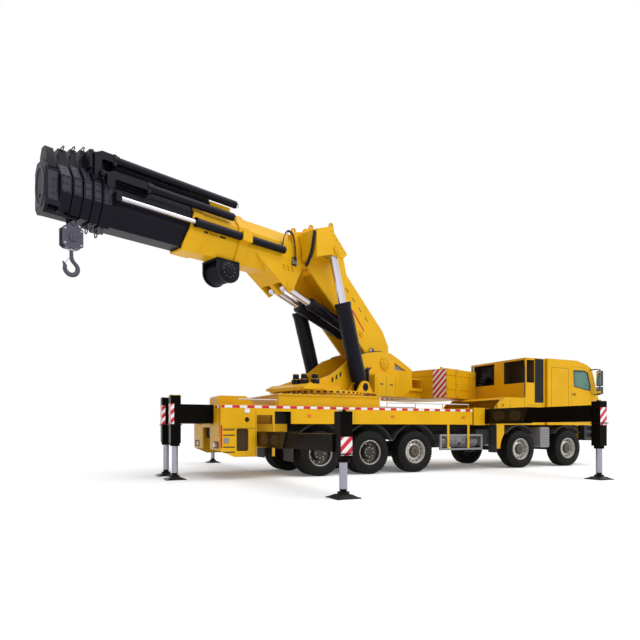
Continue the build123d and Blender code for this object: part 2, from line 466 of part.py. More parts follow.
for z0, z1 in SLABS:
    slab = block(TAIL_X1, TAIL_X0, -HALF_WIDTH, HALF_WIDTH, z0 + 14, z1)
    slab = slab + block(TAIL_X1 + 14, TAIL_X0 - 14, 14 - HALF_WIDTH, HALF_WIDTH - 14, z0 + FIT, z0 + 14)
    slabs.append(slab - block(-5715, TAIL_X0 + 5, -TAIL_HALF - FIT, TAIL_HALF + FIT, 2000, TAIL_TOP + FIT))
for x in (-4700, -5500):
    slabs += pair(block(x, x + 90, HALF_WIDTH + FIT, HALF_WIDTH + 25, SLABS[0][0] + 20, SLABS[2][1] - 20))
weight = slabs[0]
for slab in slabs[1:]:
    weight = weight + slab
TURNING["counterweight"] = weight


# Cylinders in pairs: barrel with its gland on the base pin, rod with its eye.
def barrels(base, eye, length, r, rod_r, pin_r, y, eye_w, floor):
    def run(a, b, radius):
        p, q = toward(base, eye, a), toward(base, eye, b)
        return rod((p[0], y, p[1]), (q[0], y, q[1]), radius)
    body = fuse([run(r - 8, length, r), run(0, r + 20, r * 0.5), run(length - 100, length, r + 12)])
    body = body + pin(*base, r * 0.6, y - eye_w / 2, y + eye_w / 2)
    body = body - run(floor, length - 2 * SEAT, rod_r + 6) - run(length - 2 * SEAT - 5, length + 5, rod_r + FIT)
    return pair(body - pin(*base, pin_r + FIT, y - r - 5, y + r + 5))


def rods(base, eye, length, r, eye_r, y, eye_w):
    p = toward(eye, base, length)
    body = rod((p[0], y, p[1]), (eye[0], y, eye[1]), r)
    return pair(body + pin(*eye, eye_r, y - eye_w / 2, y + eye_w / 2))


lift = LIFT_BARREL, LIFT_R, LIFT_ROD_R, LIFT_PIN_R
left, right = barrels(LIFT_BASE, LIFT_EYE, *lift, LIFT_Y, 220, LIFT_FLOOR)
TURNING["lift_barrels"] = left + right
left, right = rods(LIFT_BASE, LIFT_EYE, LIFT_ROD_LEN, LIFT_ROD_R, 145, LIFT_Y, 230)
TURNING["lift_rods"] = left + right
fold = FOLD_BARREL, FOLD_R, FOLD_ROD_R, FOLD_PIN_R
left, right = barrels(FOLD_BASE, FOLD_EYE, *fold, FOLD_Y, 200, FOLD_FLOOR)
TURNING["fold_barrels"] = left + right
left, right = rods(FOLD_BASE, FOLD_EYE, FOLD_ROD_LEN, FOLD_ROD_R, 105, FOLD_Y, 150)
TURNING["fold_rods"] = left + right


# Lifting eyes: round-topped lugs with a pin bore.
def lifting_eyes(carrier):
    found = []
    for owner, x, z, y in LIFTING_EYES:
        if owner == carrier:
            stem = side([(x - 95, z - 130), (x + 95, z - 130), (x + EYE_R, z), (x - EYE_R, z)], y, y + EYE_T)
            found += pair(stem + pin(x, z, EYE_R, y, y + EYE_T))
    return found


def eye_bores(carrier):
    found = []
    for owner, x, z, y in LIFTING_EYES:
        if owner == carrier:
            found += pair(pin(x, z, EYE_BORE, y - 5, y + EYE_T + 5))
    return found


# Main boom: side plates, upper box, foot, fork head and wing boxes for the lift rods.
flank = [(-1300, 3160), (970, 5080), (1180, 5720), (1000, 5950), (550, 6000), (200, 6080), (-360, 5560)]
flank += [(-500, 5120), (-2030, 3840), (-2280, 3450), (-2300, 2900), (-1980, 2640)]
core = [(-2030, 3840), (-64, 5463), (219, 5113), (-1747, 3490)]
foot_box = [(-2280, 3450), (-2030, 3840), (-1700, 3520), (-1330, 3180), (-1700, 2800), (-2290, 2950)]
boom = pair(side(flank, BOOM_Y - BOOM_PLATE, BOOM_Y))
boom += [side(core, -BOOM_Y, BOOM_Y), side(foot_box, -BOOM_Y, BOOM_Y), pin(*BOOM_FOOT, 312, -BOOM_Y, BOOM_Y)]
boom.append(pin(*FOLD_BASE, FOLD_PIN_R, -BOOM_Y, BOOM_Y))
boom.append(pin(*KNUCKLE, KNUCKLE_R, -BOOM_Y - 25, BOOM_Y + 25))
wing = [(1120, 5130), (1120, 5790), (650, 5960), (40, 5420), (180, 5300), (620, 5300)]
pocket = [(820, 5100), (820, 5690), (560, 5690), (330, 5800), (-10, 5800), (-10, 5100)]
wings = side(wing, BOOM_Y, LIFT_Y + 170) - side(pocket, LIFT_Y - 140, LIFT_Y + 125)
boom += pair(wings + pin(*LIFT_EYE, 110, LIFT_Y + 160, LIFT_Y + 185))
boom += pair(pin(*KNUCKLE, 150, BOOM_Y - 5, BOOM_Y + 18))
boom = fuse(boom + lifting_eyes("main"))
for bore in eye_bores("main"):
    boom = boom - bore
TURNING["main_boom"] = boom - pin(*BOOM_FOOT, FOOT_R + FIT, -BOOM_Y - 50, BOOM_Y + 50)


# Outer boom: tongue, deep knuckle box and octagonal housing.
def octagon(width, x0, x1):
    return cross([(width * a, TUBE_MID + width * b) for a, b in TUBE_SHAPE], x0, x1)


tongue = [(1330, 5760), (1200, 5830), (760, 5930), (380, 5780), (290, 5420)]
tongue += [(500, 5120), (1000, 5000), (1330, 4900)]
deep = [(2570, 5110), (1560, 4420), (1450, 4340), (1340, 4410), (1080, 4910), (1080, 5400), (2570, 5400)]
outer = [side(tongue, -TONGUE_Y, TONGUE_Y), side(deep, -TONGUE_Y, TONGUE_Y)]
outer.append(octagon(HOUSING_W, HOUSING_X0, HOUSING_X1))
outer.append(octagon(HOUSING_W + 30, 2720, 2970))
outer.append(octagon(HOUSING_W + 18, HOUSING_X1 - 400, HOUSING_X1))
outer.append(block(2720, 2970, HOUSING_W - 20, EXT_Y + EXT_R + 13, EXT_Z - 100, EXT_Z + 100))
outer.append(block(1690, 1760, HOUSING_W - 30, EXT_Y + 40, EXT_Z - 70, EXT_Z + 70))
outer += lifting_eyes("outer")
bore = HOUSING_W - WALL
outer = fuse(outer) - octagon(bore, 1330, HOUSING_X1 - 400 - SEAT)
outer = outer - octagon(SECTIONS[0][1] + FIT, 1340, HOUSING_X1 + 10)
outer = outer - octagon(bore, HOUSING_X1 - 400, HOUSING_X1 + 10)
slope = [(-330, 735), (-40, -215), (30, -565), (30, 735)]  # from the housing's end and the centre line
slope = [(HOUSING_X1 + dx, TUBE_MID + dz) for dx, dz in slope]
outer = outer - side(slope, -600, 600) - pin(*KNUCKLE, KNUCKLE_R + FIT, -BOOM_Y, BOOM_Y)
for y0, y1 in ((65, 345), (-345, -65)):
    outer = outer - side([(1150, 4300), (1150, 4480), (1300, 4740), (1640, 4740), (1800, 4300)], y0, y1)
for i in range(3):
    x = 1330 + 130 * i
    slot = [(x, 4840), (x + 50, 4840), (x + 90, 4960), (x + 40, 4960)]
    outer = outer - side(slot, TONGUE_Y - 20, TONGUE_Y + 5) - side(slot, -TONGUE_Y - 5, 20 - TONGUE_Y)
for bore_cut in eye_bores("outer"):
    outer = outer - bore_cut
outer = outer - rod((1760, EXT_Y, EXT_Z), (HOUSING_X1 + 50, EXT_Y, EXT_Z), EXT_R)
barrel = rod((1700, EXT_Y, EXT_Z), (4100, EXT_Y, EXT_Z), EXT_R)
barrel = barrel - rod((1740, EXT_Y, EXT_Z), (4110, EXT_Y, EXT_Z), EXT_ROD_R + 6)
TURNING["outer_boom"] = outer + barrel

# Telescoping sections: slide pads at tail and mouth, collar with its ear, extension tubes and brackets.
tubes = {}
widths = [HOUSING_W - WALL + SECTION_WALL] + [row[1] for row in SECTIONS]
for i, (name, width, tail, head0, head1, ear) in enumerate(SECTIONS):
    shape = octagon(width, tail, head1) + octagon(width + COLLAR, head0, head1)
    shape = shape + octagon(widths[i] - SECTION_WALL - FIT, tail, tail + SEAT)
    roof, ear = TUBE_MID + width * 1.28, TUBE_MID + ear
    crest = [(-150, roof), (-130, roof + 90), (-70, ear), (70, ear), (130, roof + 90), (150, roof)]
    shape = shape + cross(crest, head0 + 20, head1 - 20)
    shape = shape - octagon(width - SECTION_WALL, tail - 5, head1 - SEAT)
    inner = SECTIONS[i + 1][1] + FIT if i + 1 < len(SECTIONS) else width - SECTION_WALL
    tubes[name] = shape - octagon(inner, tail - 5, head1 + 5)
tubes["1"] = fuse([tubes["1"], block(5660, 5760, 366, EXT_Y + 70, EXT_Z - 80, EXT_Z + 80)])
tubes["1"] = tubes["1"] + rod((1760, EXT_Y, EXT_Z), (5680, EXT_Y, EXT_Z), EXT_ROD_R)
for carrier, y, rise, x0, x1, mover, x2, y2, low_rise in TOP_TUBES:
    z, z2 = TUBE_MID + rise, TUBE_MID + low_rise
    head = [row for row in SECTIONS if row[0] == carrier][0]
    tube = rod((x0, y, z), (x1, y, z), TOP_R) - rod((x0 + 40, y, z), (x1 + 5, y, z), TOP_BORE)
    arm = block(x1 - 60, x1 - 5, y - 130, y + TOP_R, z - 120, z + TOP_R)
    arm = arm - rod((x1 - 70, y, z), (x1 + 5, y, z), TOP_BORE)
    reach = block(x1 - 60, head[3] + 60, y - 130, y - 95, z - 120, z - 20)
    tubes[carrier] = fuse([tubes[carrier], tube, arm, reach])
    if carrier == "2":
        tubes[carrier] = tubes[carrier] + block(head[3] + 5, head[3] + 60, y - 240, y - 95, z - 250, z - 20)
    stem = rod((x0 + 60, y, z), (x2 - 10, y, z), TOP_ROD_R)
    tubes[mover] = fuse([tubes[mover], stem, block(x2 - 50, x2, y2, y + TOP_ROD_R, z2, z + TOP_ROD_R)])
for name in ("1", "2", "3", "4"):
    TURNING[f"section_{name}"] = tubes[name]
tip_low, tip_high = TUBE_MID - 365, TUBE_MID + 255
mouth = [(-235, tip_low), (-150, tip_low - 110), (150, tip_low - 110), (235, tip_low), (235, tip_high)]
mouth += [(140, tip_high + 140), (-140, tip_high + 140), (-235, tip_high)]
tip = [tubes["5"], cross(mouth, TIP_X - TIP_T, TIP_X)]
for y in (200, -200):
    tip.append(block(6600, TIP_X - 40, y - 20, y + 20, tip_low, tip_high))
lug_z = HOOK_PIN[1] + 50
tip.append(block(HOOK_PIN[0] - 60, TIP_X, -110, 110, lug_z, lug_z + 45))
tip.append(block(6640, TIP_X, -110, 110, lug_z + 30, tip_low + 20))
tip += pair(block(HOOK_PIN[0] - 70, HOOK_PIN[0] + 70, 20, 60, HOOK_PIN[1] - 45, lug_z + 5))
tip = fuse(tip) - pin(*HOOK_PIN, HOOK_PIN_R + FIT, -100, 100)
TURNING["section_5"] = tip - rod((TIP_X - 150, 0, JIB_Z), (TIP_X + 50, 0, JIB_Z), JIB_BORE)

# Winch: a drum between side plates under the housing.
under = TUBE_MID - HOUSING_W * 1.28
winch = [pin(3250, under - 303, 250, -300, 300), pin(3100, under - 203, 70, -370, 370)]
frame_line = [(2990, under), (2830, under - 353), (3000, under - 553), (3450, under - 583), (3680, under - 373)]
frame_line.append((3560, under))
winch += pair(side(frame_line, 300, 350))
winch.append(block(2990, 3560, -350, 350, under - 40, under))
TURNING["winch"] = fuse(winch)

# Hook block under the head with its sheave, and the hook under it.
x, z = HOOK_PIN
swing = [pin(x, z, HOOK_PIN_R, -95, 95), pin(x, z - 250, 35, -90, 90), pin(x, z - 250, 145, -45, 45)]
cheek = [(x - 50, z), (x + 50, z), (x + 175, z - 95), (x + 175, z - 390), (x + 110, z - 430)]
cheek += [(x - 110, z - 430), (x - 175, z - 390), (x - 175, z - 95)]
swing += pair(side(cheek, 66, 92) + pin(x, z, 44, 66, 92))
swing.append(block(x - 110, x + 110, -70, 70, z - 430, z - 340) - post(x, 0, 70, z - 350, z - 330))
TURNING["hook_block"] = fuse(swing) - post(x, 0, SHANK_R + FIT, z - 440, z - 330)
hook_z = z - 780
shank = post(x, 0, SHANK_R, hook_z + 90, z - 345) + post(x, 0, 48, z - 470, z - 430 - FIT)
curl = Pos(x, 0, hook_z) * Rot(90, 0, 0) * (Cylinder(HOOK_R, 70) - Cylinder(THROAT_R, 90))
curl = curl - block(x + 30, x + 200, -60, 60, hook_z, hook_z + 170)
TURNING["hook"] = shank + curl

# Set the superstructure at its slew angle and centre the whole on its footprint.
shapes = dict(FIXED)
for name, shape in TURNING.items():
    shapes[name] = Pos(SLEW_X, 0, 0) * Rot(0, 0, SLEW_DEG) * shape
bounds = [shape.bounding_box() for shape in shapes.values()]
mid_x = (min(b.min.X for b in bounds) + max(b.max.X for b in bounds)) / 2
mid_y = (min(b.min.Y for b in bounds) + max(b.max.Y for b in bounds)) / 2
print("centre", round(mid_x, 3), round(mid_y, 3), len(shapes))
os.makedirs("parts", exist_ok=True)
for name, shape in shapes.items():
    export_step(Pos(-mid_x, -mid_y, 0) * shape, f"parts/{name}.step")
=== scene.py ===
"""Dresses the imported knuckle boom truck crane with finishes, tread, bolts, hoses, glass and markings."""
import json
from math import atan2, cos, pi, radians, sin

import bmesh
import bpy
from mathutils import Matrix, Vector


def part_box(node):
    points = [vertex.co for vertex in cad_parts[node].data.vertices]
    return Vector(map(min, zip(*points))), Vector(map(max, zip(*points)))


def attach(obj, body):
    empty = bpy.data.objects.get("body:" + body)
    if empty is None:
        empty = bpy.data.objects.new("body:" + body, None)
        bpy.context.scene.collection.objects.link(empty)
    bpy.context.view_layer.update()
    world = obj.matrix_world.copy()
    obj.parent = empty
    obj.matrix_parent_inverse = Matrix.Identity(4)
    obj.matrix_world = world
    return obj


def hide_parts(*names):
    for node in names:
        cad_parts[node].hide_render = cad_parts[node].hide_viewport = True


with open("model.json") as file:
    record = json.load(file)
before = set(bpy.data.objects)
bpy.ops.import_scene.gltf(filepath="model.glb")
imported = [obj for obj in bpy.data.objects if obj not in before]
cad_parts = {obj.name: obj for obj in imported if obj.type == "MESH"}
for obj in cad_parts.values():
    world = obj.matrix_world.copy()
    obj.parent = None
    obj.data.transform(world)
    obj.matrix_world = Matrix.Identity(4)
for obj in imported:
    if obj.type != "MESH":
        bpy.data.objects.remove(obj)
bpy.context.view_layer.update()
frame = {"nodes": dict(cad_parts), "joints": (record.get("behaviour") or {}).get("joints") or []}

bl_info = {
    "name": "Knuckle Boom Truck Crane",
    "version": (1, 0, 0),
    "blender": (4, 5, 0),
    "location": "View3D > Sidebar > Crane",
    "description": "Dresses the packed crane with finishes, tread, bolts, hoses, glass and markings",
    "category": "Object",
}

# Two drawing frames: the truck's, with X forward from the last axle, and the crane's, with X along the boom.
JOINTS = {joint["name"]: joint for joint in frame["joints"]}
LAST_AXLE = [(low + high) / 2 for low, high in zip(*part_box("wheel_5_left"))]
SLEW_POINT = Vector(JOINTS["slew"]["pos_m"])
BOOM_AXIS = Vector(JOINTS["telescope_1"]["axis"])
TRUCK = Matrix.Translation((LAST_AXLE[0], 0, 0))
BOOM_TURN = Matrix.Rotation(atan2(BOOM_AXIS.y, BOOM_AXIS.x), 4, "Z")
CRANE = Matrix.Translation((SLEW_POINT.x, SLEW_POINT.y, 0)) @ BOOM_TURN
ALONG, ACROSS, UP = (1, 0, 0), (0, 1, 0), (0, 0, 1)
SIDES = (("left", 1), ("right", -1))
SIGNS = (1, -1)

# Places in metres that the solids also keep.
HALF_WIDTH = 1.25
DECK_REAR, DECK_FRONT, DECK_TOP = -2.41, 4.555, 1.64
CAB_Y, CAB_FRONT, CAB_ROOF = 1.225, 9.66, 3.19
SCREEN_TOP, SCREEN_LOW = (9.33, 2.96), (9.60, 2.15)
CABINET_Y, CABINET_REAR = 1.15, 6.62
CHEEK_Y, BOOM_Y, TONGUE_Y = 0.55, 0.45, 0.385
BOOM_FOOT, KNUCKLE = (-1.98, 2.95), (0.70, 5.50)
LIFT_BASE, LIFT_EYE, LIFT_Y, LIFT_R, LIFT_BARREL = (-0.65, 2.19), (0.42, 5.45), 0.78, 0.195, 2.18
TAIL_FRONT, TAIL_BACK, TAIL_LOW, TAIL_TOP = -4.11, -5.84, 2.035, 2.925
EXT_Y, EXT_Z, EXT_R = 0.49, 5.25, 0.082
HOOK_PIN = (6.33, 4.73)
LEGS = [  # name, side, x, y, top
    ("rear_right", -1, -1.40, 4.96, 1.40),
    ("rear_left", 1, -0.96, 4.96, 1.40),
    ("front_right", -1, 5.24, 4.56, 1.73),
    ("front_left", 1, 4.80, 4.56, 1.73),
]
LEG_HALF, AUX_X, AUX_Y, AUX_TOP = 0.11, -3.24, 0.54, 1.85

# Thickness of what lies on a panel, widths of bevelled edges, and the angles that decide what is an edge.
FILM, SEAM, PLATE = 0.003, 0.002, 0.004
SHARP, FINE, SOFT, ROUND = 0.0, 0.002, 0.003, 0.004
SMOOTH_BELOW, BEVEL_ABOVE = radians(35), radians(50)


class CraneColours(bpy.types.PropertyGroup):
    """Colours of the finishes, in linear light"""
    yellow: bpy.props.FloatVectorProperty(
        name="Crane Yellow", description="Paint of the crane, deck and cab", subtype="COLOR",
        default=(0.75, 0.405, 0.005))
    black: bpy.props.FloatVectorProperty(
        name="Boom Black", description="Paint of the telescope and winch", subtype="COLOR",
        default=(0.0045, 0.0045, 0.0095))
    leg: bpy.props.FloatVectorProperty(
        name="Leg Black", description="Paint of the outrigger beams", subtype="COLOR",
        default=(0.0038, 0.003, 0.0024))
    slate: bpy.props.FloatVectorProperty(
        name="Hook Slate", description="Paint of the hook block", subtype="COLOR",
        default=(0.060, 0.056, 0.082))
    chrome: bpy.props.FloatVectorProperty(
        name="Rod Chrome", description="Plated rods", subtype="COLOR", default=(0.62, 0.60, 0.67))
    jack: bpy.props.FloatVectorProperty(
        name="Jack Steel", description="Rods of the outrigger legs", subtype="COLOR",
        default=(0.36, 0.35, 0.42))
    red: bpy.props.FloatVectorProperty(
        name="Marking Red", description="Hazard stripes and the boom stripe", subtype="COLOR",
        default=(0.578, 0.014, 0.036))
    white: bpy.props.FloatVectorProperty(
        name="Marking White", description="Hazard stripes", subtype="COLOR", default=(0.84, 0.81, 0.82))
    tyre: bpy.props.FloatVectorProperty(
        name="Tyre", description="Tyre rubber", subtype="COLOR", default=(0.0045, 0.0042, 0.0042))
    rim: bpy.props.FloatVectorProperty(
        name="Rim Silver", description="Wheel discs", subtype="COLOR", default=(0.58, 0.56, 0.53))
    grey: bpy.props.FloatVectorProperty(
        name="Guard Grey", description="Tank guard and step tank", subtype="COLOR",
        default=(0.26, 0.255, 0.27))
    glass: bpy.props.FloatVectorProperty(
        name="Glass", description="Cab windows", subtype="COLOR", default=(0.30, 0.52, 0.44))
    marker: bpy.props.FloatVectorProperty(
        name="Marker Orange", description="Beacon and marker lamps", subtype="COLOR",
        default=(0.745, 0.133, 0.012))


class CraneSizes(bpy.types.PropertyGroup):
    """Sizes of the dressing"""
    tread_depth: bpy.props.FloatProperty(
        name="Tread Depth", description="Depth of the tyre grooves", unit="LENGTH", default=0.016, min=0.0)
    tread_blocks: bpy.props.IntProperty(
        name="Tread Blocks", description="Blocks round each rib of a tyre", default=44, min=8)
    bolt: bpy.props.FloatProperty(
        name="Bolt Head", description="Radius of the larger bolt heads", unit="LENGTH",
        default=0.022, min=0.001)
    hose: bpy.props.FloatProperty(
        name="Hose Radius", description="Radius of the hydraulic hoses", unit="LENGTH",
        default=0.016, min=0.001)
    stripe: bpy.props.FloatProperty(
        name="Stripe Pitch", description="A red and a white hazard stripe together", unit="LENGTH",
        default=0.19, min=0.01)
    edge_block: bpy.props.FloatProperty(
        name="Edge Blocks", description="A red and a white block on the deck edge", unit="LENGTH",
        default=0.34, min=0.01)


class StudioSettings(bpy.types.PropertyGroup):
    """Camera and light of the studio"""
    camera_x: bpy.props.FloatProperty(
        name="Camera X", description="Camera in the truck's frame", unit="LENGTH", default=-5.558)
    camera_y: bpy.props.FloatProperty(
        name="Camera Y", description="Camera in the truck's frame", unit="LENGTH", default=-12.712)
    camera_z: bpy.props.FloatProperty(
        name="Camera Height", description="Camera over the floor", unit="LENGTH", default=1.125)
    heading: bpy.props.FloatProperty(
        name="Heading", description="Turn of the level camera", subtype="ANGLE", default=radians(-25.75))
    lens: bpy.props.FloatProperty(
        name="Lens", description="Focal length in mm on a 36 mm sensor", default=30.54)
    rise: bpy.props.FloatProperty(
        name="Rise", description="Vertical shift that frames the boom", default=0.1695)
    sky: bpy.props.FloatProperty(
        name="Sky", description="Strength of the soft light all round", default=0.46)
    sun: bpy.props.FloatProperty(
        name="Key", description="Strength of the soft key light", default=2.5)
    key_run: bpy.props.FloatVectorProperty(
        name="Key Run", description="Way that the key light travels", subtype="DIRECTION",
        default=(-0.32, 0.44, -0.84))


def colours():
    return bpy.context.scene.crane_colours


def sizes():
    return bpy.context.scene.crane_sizes


# Shader building: a short way to add nodes, and the groups that several finishes share.
class Wiring:
    """Adds nodes to one tree and joins them"""

    def __init__(self, tree):
        self.tree = tree

    def add(self, kind, inputs=None, **settings):
        node = self.tree.nodes.new(kind)
        for key, value in settings.items():
            setattr(node, key, value)
        self.fill(node, inputs or {})
        return node

    def fill(self, node, inputs):
        """Joins or sets the named inputs of a node"""
        for key, value in inputs.items():
            if isinstance(value, bpy.types.NodeSocket):
                self.tree.links.new(value, node.inputs[key])
            else:
                node.inputs[key].default_value = value

    def math(self, operation, a, b=0.0, clamp=False):
        node = self.add("ShaderNodeMath", {0: a, 1: b}, operation=operation, use_clamp=clamp)
        return node.outputs[0]

    def mix(self, factor, a, b, blend="MIX"):
        node = self.add("ShaderNodeMix", {0: factor, 6: a, 7: b}, data_type="RGBA", blend_type=blend)
        return node.outputs[2]


def shade_group(name, inputs, outputs):
    """A node group with named sockets, or the one already made: returns it with its ends, or with None"""
    if name in bpy.data.node_groups:
        return bpy.data.node_groups[name], None, None, None
    group = bpy.data.node_groups.new(name, "ShaderNodeTree")
    for label, kind, value in inputs:
        group.interface.new_socket(label, in_out="INPUT", socket_type=kind).default_value = value
    for label, kind in outputs:
        group.interface.new_socket(label, in_out="OUTPUT", socket_type=kind)
    wires = Wiring(group)
    return group, wires, wires.add("NodeGroupInput"), wires.add("NodeGroupOutput")


COLOUR, NUMBER = "NodeSocketColor", "NodeSocketFloat"
ROAD_DUST = (0.30, 0.26, 0.21, 1)
WORN_AND_HIGHLIT_EDGE, ROUND_EDGE, RELIEF = 0.014, 0.008, 0.004  # metres


def weathering():
    """Blotched paint, edge wear and dust that settles low down and on top; on the boom black the pale edge
    colour also paints the edges' highlights
    """
    inputs = [("Paint", COLOUR, (0.5, 0.5, 0.5, 1)), ("Worn And Highlit", COLOUR, (0.2, 0.2, 0.2, 1))]
    inputs += [("Wear", NUMBER, 0.3), ("Dust", NUMBER, 0.2), ("Rough", NUMBER, 0.4), ("Grain", NUMBER, 40.0)]
    outputs = [("Colour", COLOUR), ("Roughness", NUMBER), ("Height", NUMBER)]
    group, w, start, end = shade_group("weathering", inputs, outputs)
    if w is None:
        return group
    where = w.add("ShaderNodeTexCoord").outputs["Object"]
    blotch = w.add("ShaderNodeTexNoise", {"Vector": where, "Scale": 0.9, "Detail": 4.0}).outputs["Fac"]
    fleck = w.add("ShaderNodeTexNoise", {"Vector": where, "Scale": 17.0, "Detail": 4.0}).outputs["Fac"]
    grain = w.add("ShaderNodeTexNoise", {"Vector": where, "Scale": start.outputs["Grain"], "Detail": 2.0})
    tone = w.add("ShaderNodeMapRange", {0: blotch, 1: 0.3, 2: 0.7, 3: 0.90, 4: 1.06}).outputs[0]
    toned = w.mix(1.0, start.outputs["Paint"], tone, "MULTIPLY")
    solid = w.add("ShaderNodeNewGeometry")
    rounded = w.add("ShaderNodeBevel", {"Radius": WORN_AND_HIGHLIT_EDGE}, samples=4).outputs["Normal"]
    turn = w.add("ShaderNodeVectorMath", {0: rounded, 1: solid.outputs["Normal"]}, operation="DOT_PRODUCT")
    edge = w.math("MULTIPLY", w.math("SUBTRACT", 1.0, turn.outputs["Value"]), 5.0, True)
    # Edge mask for paint wear; on the boom black it also places painted edge highlights
    rubbed_and_highlit = w.math("MULTIPLY", edge, w.math("MULTIPLY", fleck, start.outputs["Wear"]), True)
    worn_and_highlit = w.mix(rubbed_and_highlit, toned, start.outputs["Worn And Highlit"])
    facing = w.add("ShaderNodeSeparateXYZ", {0: solid.outputs["Normal"]}).outputs["Z"]
    height = w.add("ShaderNodeSeparateXYZ", {0: where}).outputs["Z"]
    low = w.add("ShaderNodeMapRange", {0: height, 1: 0.2, 2: 1.5, 3: 0.8, 4: 0.0}).outputs[0]
    settled = w.math("ADD", w.math("MULTIPLY", w.math("MAXIMUM", facing, 0.0), 0.45), low)
    patchy = w.math("MULTIPLY", settled, w.math("MULTIPLY", blotch, fleck))
    dusty = w.math("MULTIPLY", patchy, w.math("MULTIPLY", start.outputs["Dust"], 2.6), True)
    final = w.mix(dusty, worn_and_highlit, ROAD_DUST)
    speckle = w.math("MULTIPLY", w.math("SUBTRACT", fleck, 0.5), 0.12)
    spread = w.math("ADD", w.math("MULTIPLY", dusty, 0.4), speckle)
    rough = w.math("ADD", start.outputs["Rough"], spread, True)
    w.fill(end, {"Colour": final, "Roughness": rough, "Height": grain.outputs["Fac"]})
    return group


def striping():
    """Two colours in stripes that lean along the piece"""
    inputs = [("First", COLOUR, (1, 0, 0, 1)), ("Second", COLOUR, (1, 1, 1, 1))]
    inputs += [("Pitch", NUMBER, 0.2), ("Lean", NUMBER, 1.0)]
    group, w, start, end = shade_group("striping", inputs, [("Colour", COLOUR)])
    if w is None:
        return group
    where = w.add("ShaderNodeTexCoord").outputs["Object"]
    axes = w.add("ShaderNodeSeparateXYZ", {0: where})
    along = w.math("ADD", axes.outputs["X"], axes.outputs["Y"])
    leaning = w.math("ADD", along, w.math("MULTIPLY", axes.outputs["Z"], start.outputs["Lean"]))
    turn = w.math("FRACT", w.math("ADD", w.math("DIVIDE", leaning, start.outputs["Pitch"]), 100.0))
    band = w.math("GREATER_THAN", turn, 0.5)
    w.fill(end, {"Colour": w.mix(band, start.outputs["First"], start.outputs["Second"])})
    return group


def banding():
    """1 where the solid lies beyond a level along one axis, 0 before it"""
    inputs = [("Level", NUMBER, 0.0)]
    inputs += [(f"{axis} Share", NUMBER, share) for axis, share in (("X", 0.0), ("Y", 0.0), ("Z", 1.0))]
    group, w, start, end = shade_group("banding", inputs, [("Beyond", NUMBER)])
    if w is None:
        return group
    where = w.add("ShaderNodeTexCoord").outputs["Object"]
    axes = w.add("ShaderNodeSeparateXYZ", {0: where})
    total = w.math("MULTIPLY", axes.outputs["X"], start.outputs["X Share"])
    for axis in ("Y", "Z"):
        total = w.math("ADD", total, w.math("MULTIPLY", axes.outputs[axis], start.outputs[f"{axis} Share"]))
    w.fill(end, {"Beyond": w.math("GREATER_THAN", total, start.outputs["Level"])})
    return group


def opaque(colour):
    return (*colour[:3], 1.0)


def new_material(name):
    """A material with its wiring and its main shader"""
    material = bpy.data.materials.new(name)
    material.use_nodes = True
    return material, Wiring(material.node_tree), material.node_tree.nodes["Principled BSDF"]


def finish(name, paint, worn_and_highlit=None, rough=0.4, metal=0.0, coat=0.0, gloss=0.3, wear=0.3, dust=0.05,
           grain=40.0, bump=0.06, bands=()):
    """A painted, plated or moulded finish

    Each band holds shares of x, y and z, a level, and the colour and metal that take over beyond the level.
    """
    if name in bpy.data.materials:
        return bpy.data.materials[name]
    material, w, shader = new_material(name)
    w.fill(shader, {"Coat Weight": coat, "Coat Roughness": 0.12})
    w.fill(shader, {"Specular IOR Level": gloss, "Metallic": metal})
    given = {"Paint": opaque(paint), "Worn And Highlit": opaque(worn_and_highlit or paint), "Wear": wear}
    given.update({"Dust": dust, "Rough": rough, "Grain": grain})
    for x, y, z, level, colour, metallic in bands:
        shares = {"Level": level, "X Share": x, "Y Share": y, "Z Share": z}
        beyond = w.add("ShaderNodeGroup", shares, node_tree=banding()).outputs["Beyond"]
        given["Paint"] = w.mix(beyond, given["Paint"], opaque(colour))
        if metallic != metal:
            plated = w.add("ShaderNodeMapRange", {0: beyond, 3: metal, 4: metallic})
            w.fill(shader, {"Metallic": plated.outputs[0]})
    aged = w.add("ShaderNodeGroup", given, node_tree=weathering()).outputs
    edge = w.add("ShaderNodeBevel", {"Radius": ROUND_EDGE}, samples=4).outputs["Normal"]
    relief = {"Strength": bump, "Distance": RELIEF, "Height": aged["Height"], "Normal": edge}
    normal = w.add("ShaderNodeBump", relief).outputs["Normal"]
    w.fill(shader, {"Base Color": aged["Colour"], "Roughness": aged["Roughness"], "Normal": normal})
    return material


def crane_yellow():
    return finish("crane_yellow", colours().yellow, (0.34, 0.16, 0.02), 0.38, gloss=0.16, wear=0.3,
                  dust=0.02)


# Its pale bluish edge colour paints highlights along the edges as well as paint wear
def boom_black():
    return finish("boom_black", colours().black, (0.075, 0.072, 0.11), 0.36, gloss=0.12, wear=0.7,
                  dust=0.005)


def leg_black():
    return finish("leg_black", colours().leg, (0.06, 0.048, 0.035), 0.28, gloss=0.03, wear=0.35,
                  dust=0.005)


# Black beam paint with a brown tint that is a painted reflection of the yellow paint nearby
def beam_brown():
    return finish("beam_brown", (0.010, 0.006, 0.003), (0.09, 0.065, 0.04), 0.24, gloss=0.14,
                  wear=0.4, dust=0.01)


def head_slate():
    return finish("head_slate", (0.026, 0.025, 0.043), (0.09, 0.085, 0.12), 0.38, gloss=0.2,
                  wear=0.5, dust=0.005)


# A lighter brown that paints the reflections off the pressed plate outlines on the outer beams
def leg_sheen():
    return finish("leg_sheen", (0.030, 0.019, 0.010), (0.09, 0.065, 0.04), 0.30, gloss=0.2,
                  wear=0.2, dust=0.01)


def frame_black():
    return finish("frame_black", (0.012, 0.012, 0.013), (0.05, 0.045, 0.04), 0.5, gloss=0.2,
                  wear=0.4, dust=0.06)


def hook_slate():
    return finish("hook_slate", colours().slate, (0.25, 0.24, 0.28), 0.38, wear=0.6, dust=0.03)


